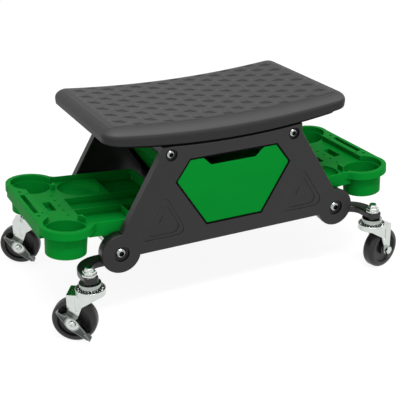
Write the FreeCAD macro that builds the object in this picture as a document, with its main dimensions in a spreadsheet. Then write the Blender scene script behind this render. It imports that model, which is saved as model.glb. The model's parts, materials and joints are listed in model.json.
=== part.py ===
import FreeCAD, Part
import math
import os
import re
import Sketcher
from FreeCAD import Placement, Rotation, Vector

# Rolling mechanic seat, in millimetres. +X runs along the seat to the right, +Y points away
# from the drawer's front, +Z is up, and the origin lies on the floor under the seat's middle.

SIZES = {
    # seat pad and the board under it
    "pad_length": 448, "pad_overhang": 2.4, "pad_thickness": 35, "pad_bottom_rise": 19, "pad_top_rise": 12,
    "pad_corner_round": 15, "pad_edge_round": 11, "pad_lower_round": 2.5, "pan_end_inset": 24,
    "pan_side_inset": 7, "pan_gap": 0.5, "pan_thickness": 4, "pan_corner_round": 12, "seat_screw_x": 84,
    "seat_screw_inset": 6.6, "seat_screw_head": 4.8, "seat_screw_head_height": 3.5,
    "seat_screw_radius": 3, "seat_screw_slack": 0.6,
    # side panels
    "panel_half": 133.6, "panel_depth": 16, "panel_wall": 3, "panel_top_half": 130.5, "panel_height": 177,
    "panel_foot_drop": 8.5, "panel_foot_reach": 22.5, "panel_edge_round": 2, "shoulder_drop": 14.4,
    "lobe_radius": 34, "lobe_x": 206, "lobe_relief": 0.8, "dimple_depth": 4, "dimple_radius": 14,
    "upper_dimple_radius": 11, "boss_wall": 2.5, "recess_gap": 24, "recess_width": 96, "recess_rise": 21,
    "recess_height": 85, "recess_lean": 44, "recess_round": 12, "recess_depth": 1.1, "recess_inset": 9,
    "recess_mark": 8, "window_gap": 1.6, "window_lip": 7, "window_edge_round": 1,
    # upper spacer tubes and the bolts of the panels
    "upper_bolt_inset": 16.5, "upper_bolt_drop": 1.4, "tube_radius": 11, "upper_bolt_radius": 4,
    "upper_bolt_head": 8, "upper_bolt_head_height": 4.4, "upper_bolt_grip": 20, "upper_socket": 2.9,
    "shaft_radius": 10, "shaft_gap": 1, "lower_bolt_radius": 5, "lower_bolt_head": 9.25,
    "lower_bolt_head_height": 5, "lower_bolt_grip": 25, "lower_socket": 3.5, "socket_depth": 2.6,
    "thread_slack": 0.05, "hole_slack": 0.4, "fit_slack": 0.05,
    # drawer and its guides
    "front_rise": 32.4, "front_bottom_half": 51.5, "front_flare": 53, "front_flare_height": 82.9,
    "front_taper": 24.6, "front_taper_height": 33.8, "front_round": 3, "front_edge_round": 1,
    "front_thickness": 3, "front_recess": 0.5, "notch_inset": 23, "notch_slope": 15, "notch_depth": 15,
    "notch_round": 6, "tub_lift": 5.6, "tub_inset": 7.5, "tub_drop": 4.1, "tub_wall": 2.5, "guide_gap": 0.3,
    "guide_thickness": 2.5, "guide_width": 38, "guide_overhang": 20, "guide_lip": 6, "guide_tab_height": 20,
    "guide_tab_width": 28, "guide_boss_radius": 6, "guide_boss_length": 8, "guide_screw_radius": 2,
    "guide_screw_head": 4, "guide_screw_head_height": 2.6, "guide_screw_depth": 6, "guide_screw_drop": 12,
    "guide_screw_slack": 0.2,
    # organiser trays: heights are below the rim, which slopes down towards the seat
    "tray_slope": 4.2, "tray_pivot_x": 316, "tray_rise": 59.9, "tray_inner": 84.5, "tray_gap": 1,
    "tray_depth": 24.5, "tray_wall": 2.5, "bin_length": 163.5, "deck_length": 55, "ridge_width": 25,
    "tray_end_depth": 22, "tray_corner_round": 10, "tray_rim_round": 1.2, "deck_drop": 9.6,
    "deck_setback": 24, "bin_wall": 2.4, "bin_divider": 27, "inner_bin_length": 76, "cup_setback": 19,
    "cup_inset": 16, "cup_inside": 33, "cup_wall": 2.5, "cup_ledge": 3.5, "cup_lip_width": 8.5,
    "cup_lip_depth": 13, "cup_depth": 51, "cup_taper": 2, "neck_round": 14, "bit_hole_offset": 16,
    "bit_hole_step": 22.5, "bit_hole_radius": 2.5, "deck_slot_offset": 33.8, "deck_slot_width": 14,
    "deck_slot_half": 20, "ridge_slot_inset": 7, "ridge_slot_width": 8.5, "ridge_hole_inset": 40,
    "ridge_hole_radius": 3, "ridge_slot_gap": 13.5, "ridge_square_inset": 4, "ridge_square": 3.6,
    "under_gap": 3.5, "bowl_margin": 3, "bowl_round": 15,
    # tray brackets
    "bracket_gap": 7, "bracket_length": 40, "bracket_reach": 42, "bracket_drop": 26,
    "bracket_thickness": 3, "bracket_screw_radius": 2, "bracket_screw_head": 4,
    "bracket_screw_head_height": 2.4, "bracket_screw_drop": 20, "tray_screw_inset": 32,
    # caster arms
    "arm_width": 24, "arm_thickness": 13, "arm_gap": 9.5, "arm_inset": 19, "arm_root": 16, "arm_reach": 64.6,
    "arm_bend": 19, "arm_end_reach": 12.5, "arm_end_round": 6, "arm_edge_round": 2.5, "hub_inset": 1,
    "hub_length": 13.6, "stem_reach": 63,
    # casters: wheel, fork, stem, balls, axle and brake
    "wheel_radius": 37.5, "wheel_width": 24, "wheel_shoulder": 8, "wheel_hub_radius": 12, "hub_proud": 3,
    "wheel_rim_width": 12.5, "wheel_dish": 4, "trail": 28, "fork_play": 1, "fork_plate": 2.5,
    "crown_gap": 10, "crown_thickness": 3, "leg_tip": 8, "leg_back": 18, "leg_waist": 16,
    "leg_waist_drop": 19, "race_wall": 2, "race_height": 7, "race_round": 0.9, "rib_width": 5,
    "rib_length": 22, "rib_depth": 1, "rib_setback": 8, "rib_drop": 15, "stem_radius": 6,
    "kingpin_radius": 7, "kingpin_flare": 4, "kingpin_head_height": 3.5, "kingpin_gap": 0.3,
    "cap_radius": 16.5, "cap_flare": 1.5, "cap_gap": 1, "ball_radius": 2.5, "ball_gap": 0.2,
    "ball_slack": 0.5, "washer_radius": 12, "washer_thickness": 2.5, "nut_across": 19, "nut_height": 10,
    "nut_chamfer": 1, "stem_above_nut": 1.5,
    "bush_radius": 6, "bush_play": 0.2, "axle_radius": 4, "axle_head": 6.5, "axle_head_height": 5,
    "axle_nut_height": 6.5, "axle_nut_across": 13, "lever_gap": 0.3, "lever_plate": 2.5,
    "lever_boss": 12, "lever_tilt": 45, "lever_flange": 8, "lever_wing": 13, "lever_tread": 14,
    "lever_end_half": 5, "lever_short": 4.5,
    # which way each caster trails, in degrees from +X
    "front_left_heading": 147, "front_right_heading": 14, "rear_left_heading": 152, "rear_right_heading": 25,
}

# Sizes that follow from others: heights stack up from the wheels, places follow what carries them.
DERIVED = {
    "crown_bottom": "2 * wheel_radius + crown_gap",
    "crown_top": "crown_bottom + crown_thickness",
    "race_top": "crown_top + race_height",
    "race_radius": "cap_radius + 2 * (ball_radius + ball_slack) + race_wall",
    "cap_bottom": "crown_top + cap_gap",
    "cap_step": "race_top + cap_gap",
    "arm_bottom": "race_top + arm_gap",
    "arm_top": "arm_bottom + arm_thickness",
    "lobe_z": "arm_top + shaft_gap + shaft_radius",
    "lobe_depth": "dimple_depth + panel_wall",
    "hub_radius": "lobe_radius - hub_inset",
    "hub_face": "panel_half - lobe_depth",
    "arm_inner": "hub_face - hub_length - arm_inset",
    "stem_x": "lobe_x + arm_reach",
    "stem_y": "arm_inner + stem_reach",
    "fork_gap": "wheel_width + hub_proud + fork_play",
    "leg_outside": "fork_gap / 2 + fork_plate",
    "crown_front": "trail + leg_tip",
    "rib_x": "trail - rib_setback",
    "rib_z": "crown_bottom - rib_drop",
    "lever_up": "wheel_radius - lever_short",
    "lever_down": "wheel_radius + lever_plate / 5",
    "face_inside": "panel_half - panel_wall",
    "panel_bottom": "lobe_z - panel_foot_drop",
    "panel_foot_half": "lobe_x + panel_foot_reach",
    "pad_width": "2 * (panel_half + pad_overhang)",
    "pad_mid_bottom": "panel_bottom + panel_height",
    "pad_mid_top": "pad_mid_bottom + pad_thickness",
    "bow_radius": "((pad_length / 2)^2 + pad_bottom_rise^2) / (2 * pad_bottom_rise)",
    "pan_length": "pad_length - 2 * pan_end_inset",
    "pan_width": "pad_width - 2 * pan_side_inset",
    "panel_top_end": "pad_mid_bottom + bow_radius - sqrt((bow_radius + pan_thickness)^2 - panel_top_half^2)",
    "panel_shoulder": "panel_top_end - shoulder_drop",
    "seat_screw_y": "face_inside - seat_screw_inset",
    "upper_bolt_x": "panel_top_half - upper_bolt_inset",
    "upper_bolt_z": "panel_shoulder - upper_bolt_drop",
    "recess_right": "lobe_x - recess_gap",
    "recess_left": "recess_right - recess_width",
    "recess_apex": "recess_left + recess_lean",
    "recess_bottom": "panel_bottom + recess_rise",
    "recess_top": "recess_bottom + recess_height",
    "front_bottom_z": "panel_bottom + front_rise",
    "front_side_z": "front_bottom_z + front_flare_height",
    "front_side_half": "front_bottom_half + front_flare",
    "front_top_z": "front_side_z + front_taper_height",
    "front_top_half": "front_side_half - front_taper",
    "notch_top_half": "front_top_half - notch_inset",
    "notch_bottom_half": "notch_top_half - notch_slope",
    "tub_bottom_z": "front_bottom_z + tub_lift",
    "tub_bottom_half": "front_bottom_half - tub_inset",
    "tub_side_half": "front_side_half - tub_inset",
    "tub_top_z": "front_top_z - notch_depth - tub_drop",
    "tub_top_half": "tub_side_half - front_taper * (tub_top_z - front_side_z) / front_taper_height",
    "guide_top": "tub_bottom_z - guide_gap",
    "guide_outer": "tub_bottom_half + guide_overhang",
    "guide_inner": "guide_outer - guide_width",
    "guide_half": "face_inside - guide_boss_length",
    "tray_half": "hub_face - hub_length - tray_gap",
    "tray_pivot_z": "lobe_z + tray_rise",
    "deck_inner": "tray_inner + bin_length",
    "ridge_inner": "deck_inner + deck_length",
    "tray_end": "ridge_inner + ridge_width",
    "bin_cross_wall": "tray_inner + tray_wall + inner_bin_length",
    "cup_x": "ridge_inner - cup_setback",
    "cup_y": "tray_half - cup_inset",
    "cup_outside": "cup_inside + cup_wall",
    "cup_mouth": "cup_inside + cup_ledge",
    "cup_lip": "cup_mouth + cup_lip_width",
    "deck_half": "cup_y - deck_setback",
    "under_half": "cup_y - cup_outside - under_gap",
    "bit_hole_x": "deck_inner + bit_hole_offset",
    "deck_slot_x": "deck_inner + deck_slot_offset",
    "ridge_slot_outer": "tray_end - ridge_slot_inset",
    "ridge_slot_inner": "ridge_slot_outer - ridge_slot_width",
    "ridge_hole_x": "(ridge_slot_outer + ridge_slot_inner) / 2",
    "ridge_hole_y": "cup_y - ridge_hole_inset",
    "ridge_slot_half": "ridge_hole_y - ridge_slot_gap",
    "ridge_square_x": "ridge_inner + ridge_square_inset",
    "bracket_start": "lobe_x - hub_radius - bracket_gap - bracket_length",
}
BALL_COUNT = 16
BIT_HOLES = 5

doc = FreeCAD.newDocument("MechanicSeat")
sheet = doc.addObject("Spreadsheet::Sheet", "Sizes")
for row, (alias, number) in enumerate(SIZES.items(), start=1):
    sheet.set(f"A{row}", alias)
    sheet.set(f"B{row}", str(number))
    sheet.setAlias(f"B{row}", alias)
doc.recompute()

NODES = []
FRONT, TOP, SIDE = "XZ_Plane", "XY_Plane", "YZ_Plane"
ALONG_Y = Rotation(Vector(1, 0, 0), -90)
AGAINST_Y = Rotation(Vector(1, 0, 0), 90)
UPRIGHT = Rotation()
UPSIDE_DOWN = Rotation(Vector(1, 0, 0), 180)
HALF_TURN = Rotation(Vector(0, 0, 1), 180)


def cells(text):
    """Point each size's name in an expression at its cell of the sheet."""
    return re.sub(r"[A-Za-z_]\w*", lambda found: cell(found.group()), str(text))


def cell(word):
    """One word of an expression: a size's cell, a derived size worked out from cells, or itself."""
    if word in DERIVED:
        return f"({cells(DERIVED[word])})"
    return f"Sizes.{word}" if word in SIZES else word


def size(text):
    """Work out an expression of size names as a number."""
    return float(sheet.evalExpression(cells(text)))


def spot(x, y, z):
    """A point from three expressions."""
    return Vector(size(x), size(y), size(z))


def new_body(label, place=None):
    """A body that becomes one node, at its place."""
    body = doc.addObject("PartDesign::Body", label)
    body.Label = label
    body.Placement = place or Placement()
    NODES.append(body)
    return body


def new_sketch(body, plane, offset="0"):
    """A sketch on one of the body's own planes, moved along the plane's normal."""
    sketch = body.newObject("Sketcher::SketchObject", f"{body.Label}_sketch")
    planes = [p for p in body.Origin.OriginFeatures if getattr(p, "Role", "") == plane]
    sketch.AttachmentSupport = [(planes[0], "")]
    sketch.MapMode = "FlatFace"
    sketch.setExpression("AttachmentOffset.Base.z", cells(offset))
    doc.recompute()
    return sketch


def limit(sketch, text, kind, *where):
    """Add one dimension to a sketch and bind it to an expression."""
    index = sketch.addConstraint(Sketcher.Constraint(kind, *where, size(text)))
    sketch.setExpression(f"Constraints[{index}]", cells(text))


def pin(sketch, geometry, end, x, y):
    """Hold a point of a sketch at two expressions."""
    limit(sketch, x, "DistanceX", geometry, end)
    limit(sketch, y, "DistanceY", geometry, end)


def add_side(sketch, start, finish, bow):
    """Add one side, straight or bowed through a point, and say which ends of it come first."""
    if bow is None:
        return sketch.addGeometry(Part.LineSegment(start, finish)), 1, 2
    middle = Vector(size(bow[0]), size(bow[1]), 0)
    side = sketch.addGeometry(Part.Arc(start, middle, finish))
    away = [sketch.getPoint(side, end).distanceToPoint(start) for end in (1, 2)]
    point = sketch.addGeometry(Part.Point(middle), True)
    sketch.addConstraint(Sketcher.Constraint("PointOnObject", point, 1, side))
    pin(sketch, point, 1, *bow)
    return (side, 1, 2) if away[0] < away[1] else (side, 2, 1)


def draw(sketch, corners):
    """Draw a closed outline. A corner is (x, y), (x, y, radius) for a rounded one, or
    (x, y, (x, y)) where the side that follows bows through a point."""
    points = [Vector(size(c[0]), size(c[1]), 0) for c in corners]
    count = len(corners)
    extra = [c[2] if len(c) > 2 else None for c in corners]
    bows = [e if isinstance(e, tuple) else None for e in extra]
    rounds = [None if isinstance(e, tuple) else e for e in extra]
    before, after, arcs = list(points), list(points), {}
    for i, radius in enumerate(rounds):
        if radius is None or size(radius) <= 0:
            rounds[i] = None
            continue
        back = (points[i - 1] - points[i]).normalize()
        ahead = (points[(i + 1) % count] - points[i]).normalize()
        half = back.getAngle(ahead) / 2
        reach = size(radius) / math.tan(half)
        before[i] = points[i] + back * reach
        after[i] = points[i] + ahead * reach
        middle_way = (back + ahead).normalize()
        centre = points[i] + middle_way * (size(radius) / math.sin(half))
        arcs[i] = Part.Arc(before[i], centre - middle_way * size(radius), after[i])
    sides = [add_side(sketch, after[i], before[(i + 1) % count], bows[i]) for i in range(count)]
    for i, (x, y) in enumerate(c[:2] for c in corners):
        last, first = sides[i - 1], sides[i]
        if rounds[i] is None:
            sketch.addConstraint(Sketcher.Constraint("Coincident", last[0], last[2], first[0], first[1]))
            pin(sketch, first[0], first[1], x, y)
            continue
        arc = sketch.addGeometry(arcs[i])
        forward = sketch.getPoint(arc, 1).distanceToPoint(before[i]) < 1e-6
        ends = (1, 2) if forward else (2, 1)
        sketch.addConstraint(Sketcher.Constraint("Tangent", last[0], last[2], arc, ends[0]))
        sketch.addConstraint(Sketcher.Constraint("Tangent", first[0], first[1], arc, ends[1]))
        limit(sketch, rounds[i], "Radius", arc)
        corner = sketch.addGeometry(Part.Point(points[i]), True)
        sketch.addConstraint(Sketcher.Constraint("PointOnObject", corner, 1, last[0]))
        sketch.addConstraint(Sketcher.Constraint("PointOnObject", corner, 1, first[0]))
        pin(sketch, corner, 1, x, y)


def ring(sketch, x, y, radius):
    """Draw a circle."""
    circle = sketch.addGeometry(Part.Circle(Vector(size(x), size(y), 0), Vector(0, 0, 1), size(radius)))
    pin(sketch, circle, 3, x, y)
    limit(sketch, radius, "Radius", circle)


def box_corners(x_low, x_high, y_low, y_high, radius=None):
    """The corners of an upright rectangle."""
    corners = [(x_low, y_low), (x_high, y_low), (x_high, y_high), (x_low, y_high)]
    return [c + (radius,) for c in corners] if radius else corners


def pad(body, sketch, length, away=False):
    """Extrude a sketch along its normal, or away from it."""
    feature = body.newObject("PartDesign::Pad", f"{body.Label}_pad")
    feature.Profile = sketch
    feature.setExpression("Length", cells(length))
    feature.Reversed = away
    doc.recompute()
    return feature


def pocket(body, sketch, depth, away=False):
    """Cut a sketch into the body along its normal, or away from it."""
    whole = body.Shape.Volume
    feature = body.newObject("PartDesign::Pocket", f"{body.Label}_pocket")
    feature.Profile = sketch
    feature.setExpression("Length", cells(depth))
    feature.Reversed = not away
    doc.recompute()
    if not feature.Shape.Volume < whole - 1e-3:
        raise RuntimeError(f"a pocket of {body.Label} cut nothing")
    return feature


def revolve(body, sketch):
    """Turn a sketch about its upright axis."""
    feature = body.newObject("PartDesign::Revolution", f"{body.Label}_turned")
    feature.Profile = sketch
    feature.ReferenceAxis = (sketch, ["V_Axis"])
    doc.recompute()
    return feature


def edge_names(feature, wanted):
    """Names of the edges whose middle and direction pass a test."""
    names = []
    for number, edge in enumerate(feature.Shape.Edges, start=1):
        middle = edge.valueAt((edge.FirstParameter + edge.LastParameter) / 2)
        along = edge.tangentAt((edge.FirstParameter + edge.LastParameter) / 2)
        if wanted(edge, middle, along):
            names.append(f"Edge{number}")
    return names


def fillet(body, feature, names, radius):
    """Round edges by their names."""
    if not names:
        raise RuntimeError(f"no edge of {body.Label} to round")
    rounded = body.newObject("PartDesign::Fillet", f"{body.Label}_round")
    rounded.Base = (feature, names)
    rounded.setExpression("Radius", cells(radius))
    doc.recompute()
    return rounded


def upright_corners(edge, middle, along):
    """Edges that run straight up."""
    return abs(along.z) > 0.99


def solid(kind, name, **sizes):
    """A Part primitive with its sizes bound to expressions."""
    made = doc.addObject(f"Part::{kind}", name)
    for key, text in sizes.items():
        made.setExpression(key, cells(text))
    return made


def screw(name, place, head, head_height, radius, length, socket):
    """A button-head screw: its domed head lies below its own origin, its shank runs up its own Z axis."""
    ball = f"((({head})^2 + ({head_height})^2) / (2 * ({head_height})))"
    above = f"({ball} - ({head_height}))"
    cap = solid("Sphere", f"{name}_head", Radius=ball, Angle1="-90", Angle2=f"-asin({above} / {ball})")
    cap.setExpression("Placement.Base.z", cells(above))
    shank = solid("Cylinder", f"{name}_shank", Radius=radius, Height=length)
    joined = doc.addObject("Part::Fuse", f"{name}_joined")
    joined.Base, joined.Tool = cap, shank
    key = solid("Prism", f"{name}_key", Circumradius=socket, Height="socket_depth")
    key.setExpression("Placement.Base.z", cells(f"-({head_height})"))
    made = doc.addObject("Part::Cut", name)
    made.Base, made.Tool = joined, key
    made.Placement = place
    return made


def group(label, members, place=None):
    """Several like solids as one node."""
    made = doc.addObject("Part::Compound", label)
    made.Label = label
    made.Links = members
    made.Placement = place or Placement()
    NODES.append(made)
    return made


# The underside of the pad is an arc, and the board and the panels below follow the same centre.


def bow_height(x, drop):
    """Height at x of an arc that lies a drop below the pad's underside."""
    return f"(pad_mid_bottom + bow_radius - sqrt((bow_radius + {drop})^2 - ({x})^2))"


def bowed_strip(half, top_drop, bottom_drop):
    """The outline of a strip between two arcs that share the pad's centre."""
    return [
        (f"-({half})", bow_height(half, bottom_drop), ("0", f"pad_mid_bottom - ({bottom_drop})")),
        (half, bow_height(half, bottom_drop)),
        (half, bow_height(half, top_drop), ("0", f"pad_mid_bottom - ({top_drop})")),
        (f"-({half})", bow_height(half, top_drop)),
    ]


def loop_of(feature, upper):
    """Edge names round the largest face that looks up, or down."""
    sign = 1 if upper else -1
    faces = [f for f in feature.Shape.Faces if sign * f.normalAt(*middle_of(f)).z > 0.9]
    widest = max(faces, key=lambda f: f.Area)
    return edges_like(feature, widest.OuterWire.Edges)


def middle_of(face):
    """The middle of a face's parameters."""
    u_low, u_high, v_low, v_high = face.ParameterRange
    return (u_low + u_high) / 2, (v_low + v_high) / 2


def seat_pad():
    """A moulded foam pad: dished along its length, with rounded edges and a bed for the board."""
    body = new_body("seat_pad")
    side = new_sketch(body, FRONT, "-pad_width / 2")
    half = "pad_length / 2"
    draw(side, [
        (f"-{half}", bow_height(half, "pan_thickness"), ("0", "pad_mid_bottom - pan_thickness")),
        (half, bow_height(half, "pan_thickness")),
        (half, "pad_mid_top + pad_top_rise", ("0", "pad_mid_top")),
        (f"-{half}", "pad_mid_top + pad_top_rise"),
    ])
    block = pad(body, side, "pad_width")
    block = fillet(body, block, edge_names(block, upright_corners), "pad_corner_round")
    block = fillet(body, block, loop_of(block, True), "pad_edge_round")
    fillet(body, block, loop_of(block, False), "pad_lower_round")
    bed = new_sketch(body, FRONT, "-(pan_width / 2 + pan_gap)")
    draw(bed, bowed_strip("pan_length / 2 + pan_gap", "0", "pan_thickness * 2"))
    pocket(body, bed, "pan_width + 2 * pan_gap")


def seat_pan():
    """The stiff board let into the pad's underside."""
    body = new_body("seat_pan")
    side = new_sketch(body, FRONT, "-pan_width / 2")
    draw(side, bowed_strip("pan_length / 2", "0", "pan_thickness"))
    board = pad(body, side, "pan_width")
    fillet(body, board, edge_names(board, upright_corners), "pan_corner_round")
    holes = new_sketch(body, TOP, "pad_mid_bottom + pad_bottom_rise")
    for x, y in seat_screw_places():
        ring(holes, x, y, "seat_screw_radius + thread_slack")
    pocket(body, holes, "pad_bottom_rise + pan_thickness * 2", away=True)


def seat_screw_places():
    """Where the board is screwed to the panels' upper flanges."""
    return [(f"{a}seat_screw_x", f"{b}seat_screw_y") for a in ("", "-") for b in ("", "-")]


def seat_screws():
    """Screws through the panels' upper flanges into the board."""
    under = bow_height("seat_screw_x", "pan_thickness + panel_wall")
    screws = []
    for number, (x, y) in enumerate(seat_screw_places(), start=1):
        place = Placement(spot(x, y, f"{under} - seat_screw_slack"), UPRIGHT)
        screws.append(screw(f"seat_screw_{number}", place, "seat_screw_head", "seat_screw_head_height",
                            "seat_screw_radius", "panel_wall + pan_thickness", "seat_screw_radius * 0.75"))
    group("seat_screws", screws)


def panel_outline(inset):
    """The panel's tapered outline, without its lobes, moved in by a wall."""
    slope = "(panel_foot_half - panel_top_half) / (panel_shoulder - panel_bottom)"
    side_inset = f"({inset}) * sqrt(1 + ({slope})^2)"
    top = f"panel_top_half - ({inset})"
    foot = f"panel_foot_half - {side_inset} - ({inset}) * {slope}"
    shoulder = f"panel_shoulder - ({side_inset} - ({inset})) / ({slope})"
    drop = f"pan_thickness + ({inset})"
    return [
        (f"-({foot})", f"panel_bottom + ({inset})"),
        (foot, f"panel_bottom + ({inset})"),
        (top, shoulder),
        (top, bow_height(top, drop), ("0", f"pad_mid_bottom - ({drop})")),
        (f"-({top})", bow_height(top, drop)),
        (f"-({top})", shoulder),
    ]


def front_hexagon(grow, bottom="front_bottom_z", radius="front_round"):
    """The drawer front's six sides, moved out by a gap."""
    low_half = f"front_bottom_half + ({grow}) * 0.5"
    return [
        (f"-({low_half})", f"{bottom} - ({grow})", radius),
        (low_half, f"{bottom} - ({grow})", radius),
        (f"front_side_half + ({grow}) * 1.2", "front_side_z", radius),
        (f"front_top_half + ({grow}) * 0.5", f"front_top_z + ({grow})", radius),
        (f"-(front_top_half + ({grow}) * 0.5)", f"front_top_z + ({grow})", radius),
        (f"-(front_side_half + ({grow}) * 1.2)", "front_side_z", radius),
    ]


def recess_triangle(sign, inset):
    """The triangle pressed into each leg of a panel."""
    return [
        (f"{sign}(recess_left + ({inset}))", f"recess_bottom + ({inset}) * 0.6", "recess_round"),
        (f"{sign}(recess_right - ({inset}) * 1.3)", f"recess_bottom + ({inset}) * 0.6", "recess_round"),
        (f"{sign}(recess_apex)", f"recess_top - ({inset}) * 1.5", "recess_round"),
    ]


def guide_screw_places(side):
    """Where a drawer guide is screwed to the bosses of a panel."""
    return f"{side}(guide_inner + guide_tab_width / 2)", "tub_bottom_z - guide_gap - guide_screw_drop"


def front_face(feature, y):
    """The largest flat face that looks forward from a given depth."""
    flat = [f for f in feature.Shape.Faces if f.normalAt(*middle_of(f)).y < -0.99]
    return max((f for f in flat if abs(f.CenterOfMass.y - y) < 1e-3), key=lambda f: f.Area)


def edges_like(feature, edges):
    """Names of the edges that match given ones."""
    marks = [e.CenterOfMass for e in edges]
    near = lambda edge, middle, along: any(edge.CenterOfMass.distanceToPoint(m) < 1e-4 for m in marks)
    return edge_names(feature, near)


def side_panel(label, place):
    """A shell with a hexagonal window for the drawer and a round lobe at each lower corner."""
    body = new_body(label, place)
    front = "panel_half"
    shell = new_sketch(body, FRONT, front)
    draw(shell, panel_outline("0"))
    pad(body, shell, "panel_depth", away=True)
    hollow = new_sketch(body, FRONT, "face_inside")
    draw(hollow, panel_outline("panel_wall"))
    pocket(body, hollow, "panel_depth", away=True)
    lip = new_sketch(body, FRONT, "face_inside")
    draw(lip, front_hexagon("window_gap + panel_wall"))
    pad(body, lip, "window_lip", away=True)
    relief = new_sketch(body, FRONT, "face_inside")
    lobes = new_sketch(body, FRONT, front)
    bosses = new_sketch(body, FRONT, front)
    dimples = new_sketch(body, FRONT, front)
    holes = new_sketch(body, FRONT, front)
    window = new_sketch(body, FRONT, front)
    recess = new_sketch(body, FRONT, front)
    deeper = new_sketch(body, FRONT, f"{front} - recess_depth")
    mark = new_sketch(body, FRONT, f"{front} - recess_depth * 2")
    guide_bosses = new_sketch(body, FRONT, "face_inside")
    guide_holes = new_sketch(body, FRONT, "face_inside - guide_boss_length")
    for sign in ("", "-"):
        ring(relief, f"{sign}lobe_x", "lobe_z", "lobe_radius + lobe_relief")
        ring(lobes, f"{sign}lobe_x", "lobe_z", "lobe_radius")
        ring(bosses, f"{sign}upper_bolt_x", "upper_bolt_z", "upper_dimple_radius + boss_wall")
        ring(dimples, f"{sign}lobe_x", "lobe_z", "dimple_radius")
        ring(dimples, f"{sign}upper_bolt_x", "upper_bolt_z", "upper_dimple_radius")
        ring(holes, f"{sign}lobe_x", "lobe_z", "lower_bolt_radius + hole_slack")
        ring(holes, f"{sign}upper_bolt_x", "upper_bolt_z", "upper_bolt_radius + hole_slack")
        draw(recess, recess_triangle(sign, "0"))
        draw(deeper, recess_triangle(sign, "recess_inset"))
        centre_z = "recess_bottom + (recess_top - recess_bottom) * 0.38"
        draw(mark, [
            (f"{sign}(recess_apex - recess_mark)", f"{centre_z} - recess_mark * 0.7"),
            (f"{sign}(recess_apex + recess_mark)", f"{centre_z} - recess_mark * 0.7"),
            (f"{sign}(recess_apex)", f"{centre_z} + recess_mark"),
        ])
        ring(guide_bosses, *guide_screw_places(sign), "guide_boss_radius")
        ring(guide_holes, *guide_screw_places(sign), "guide_screw_radius + thread_slack")
    pocket(body, relief, "panel_depth", away=True)
    pad(body, lobes, "lobe_depth", away=True)
    pad(body, bosses, "lobe_depth", away=True)
    pad(body, guide_bosses, "guide_boss_length", away=True)
    pocket(body, dimples, "dimple_depth", away=True)
    pocket(body, holes, "panel_depth", away=True)
    draw(window, front_hexagon("window_gap"))
    pocket(body, window, "panel_depth", away=True)
    pocket(body, recess, "recess_depth", away=True)
    pocket(body, deeper, "recess_depth", away=True)
    pad(body, mark, "recess_depth * 0.8", away=False)
    pocket(body, guide_holes, "guide_screw_depth", away=False)
    screw_holes = new_sketch(body, TOP, "pad_mid_bottom + pad_bottom_rise")
    for sign in ("", "-"):
        ring(screw_holes, f"{sign}seat_screw_x", "-seat_screw_y", "seat_screw_radius + hole_slack")
    drilled = pocket(body, screw_holes, "pad_bottom_rise + pan_thickness * 2 + panel_wall * 2", away=True)
    face = front_face(drilled, -size(front))
    rounded = fillet(body, drilled, edges_like(drilled, face.OuterWire.Edges), "panel_edge_round")
    face = front_face(rounded, -size(front))
    widest = max((w for w in face.Wires if not w.isSame(face.OuterWire)), key=lambda w: w.Length)
    fillet(body, rounded, edges_like(rounded, widest.Edges), "window_edge_round")


def cross_bar(label, x, z, radius, bore, grip):
    """A round bar between the panels, tapped at both ends."""
    length = "2 * hub_face"
    place = Placement(spot(x, f"-({length}) / 2", z), ALONG_Y)
    body = new_body(label, place)
    disc = new_sketch(body, TOP)
    ring(disc, "0", "0", radius)
    pad(body, disc, length)
    near = new_sketch(body, TOP)
    ring(near, "0", "0", bore)
    pocket(body, near, grip)
    far = new_sketch(body, TOP, length)
    ring(far, "0", "0", bore)
    pocket(body, far, grip, away=True)


def panel_bolts(label, x, z, head, head_height, radius, grip, socket):
    """Four button-head bolts that hold the panels to their cross bars."""
    seat = "panel_half - dimple_depth"
    bolts = []
    for sign in ("", "-"):
        for side, turn in (("-", ALONG_Y), ("", AGAINST_Y)):
            place = Placement(spot(f"{sign}{x}", f"{side}({seat})", z), turn)
            bolts.append(screw(f"{label}_{len(bolts) + 1}", place, head, head_height, radius,
                               f"panel_wall + {grip}", socket))
    group(label, bolts)


def drawer():
    """A tub with a hexagonal front, open on top, with a finger notch in the front's upper edge."""
    body = new_body("drawer")
    face = "panel_half - front_recess"
    plate = new_sketch(body, FRONT, face)
    draw(plate, front_hexagon("0")[:4] + [
        ("notch_top_half", "front_top_z", "notch_round"),
        ("notch_bottom_half", "front_top_z - notch_depth", "notch_round"),
        ("-notch_bottom_half", "front_top_z - notch_depth", "notch_round"),
        ("-notch_top_half", "front_top_z", "notch_round"),
    ] + front_hexagon("0")[4:])
    pad(body, plate, "front_thickness", away=True)
    tub = new_sketch(body, FRONT, f"{face} - front_thickness")
    draw(tub, tub_outline("0", "tub_top_z"))
    pad(body, tub, f"2 * ({face}) - 2 * front_thickness", away=True)
    back = new_sketch(body, FRONT, f"-({face} - front_thickness)")
    draw(back, front_hexagon("0", "tub_bottom_z"))
    pad(body, back, "front_thickness", away=True)
    inside = new_sketch(body, FRONT, f"{face} - front_thickness")
    draw(inside, tub_outline("tub_wall", "tub_top_z + tub_wall * 2"))
    hollow = pocket(body, inside, f"2 * ({face}) - 2 * front_thickness", away=True)
    shown = front_face(hollow, -size(face))
    fillet(body, hollow, edges_like(hollow, shown.OuterWire.Edges), "front_edge_round")


def tub_outline(wall, top):
    """The tub's section: narrow below, widest at the window's side corners."""
    return [
        (f"-(tub_bottom_half - ({wall}) * 0.6)", f"tub_bottom_z + ({wall})"),
        (f"tub_bottom_half - ({wall}) * 0.6", f"tub_bottom_z + ({wall})"),
        (f"tub_side_half - ({wall}) * 1.3", "front_side_z"),
        (f"tub_top_half - ({wall}) * 1.3", top),
        (f"-(tub_top_half - ({wall}) * 1.3)", top),
        (f"-(tub_side_half - ({wall}) * 1.3)", "front_side_z"),
    ]


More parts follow.
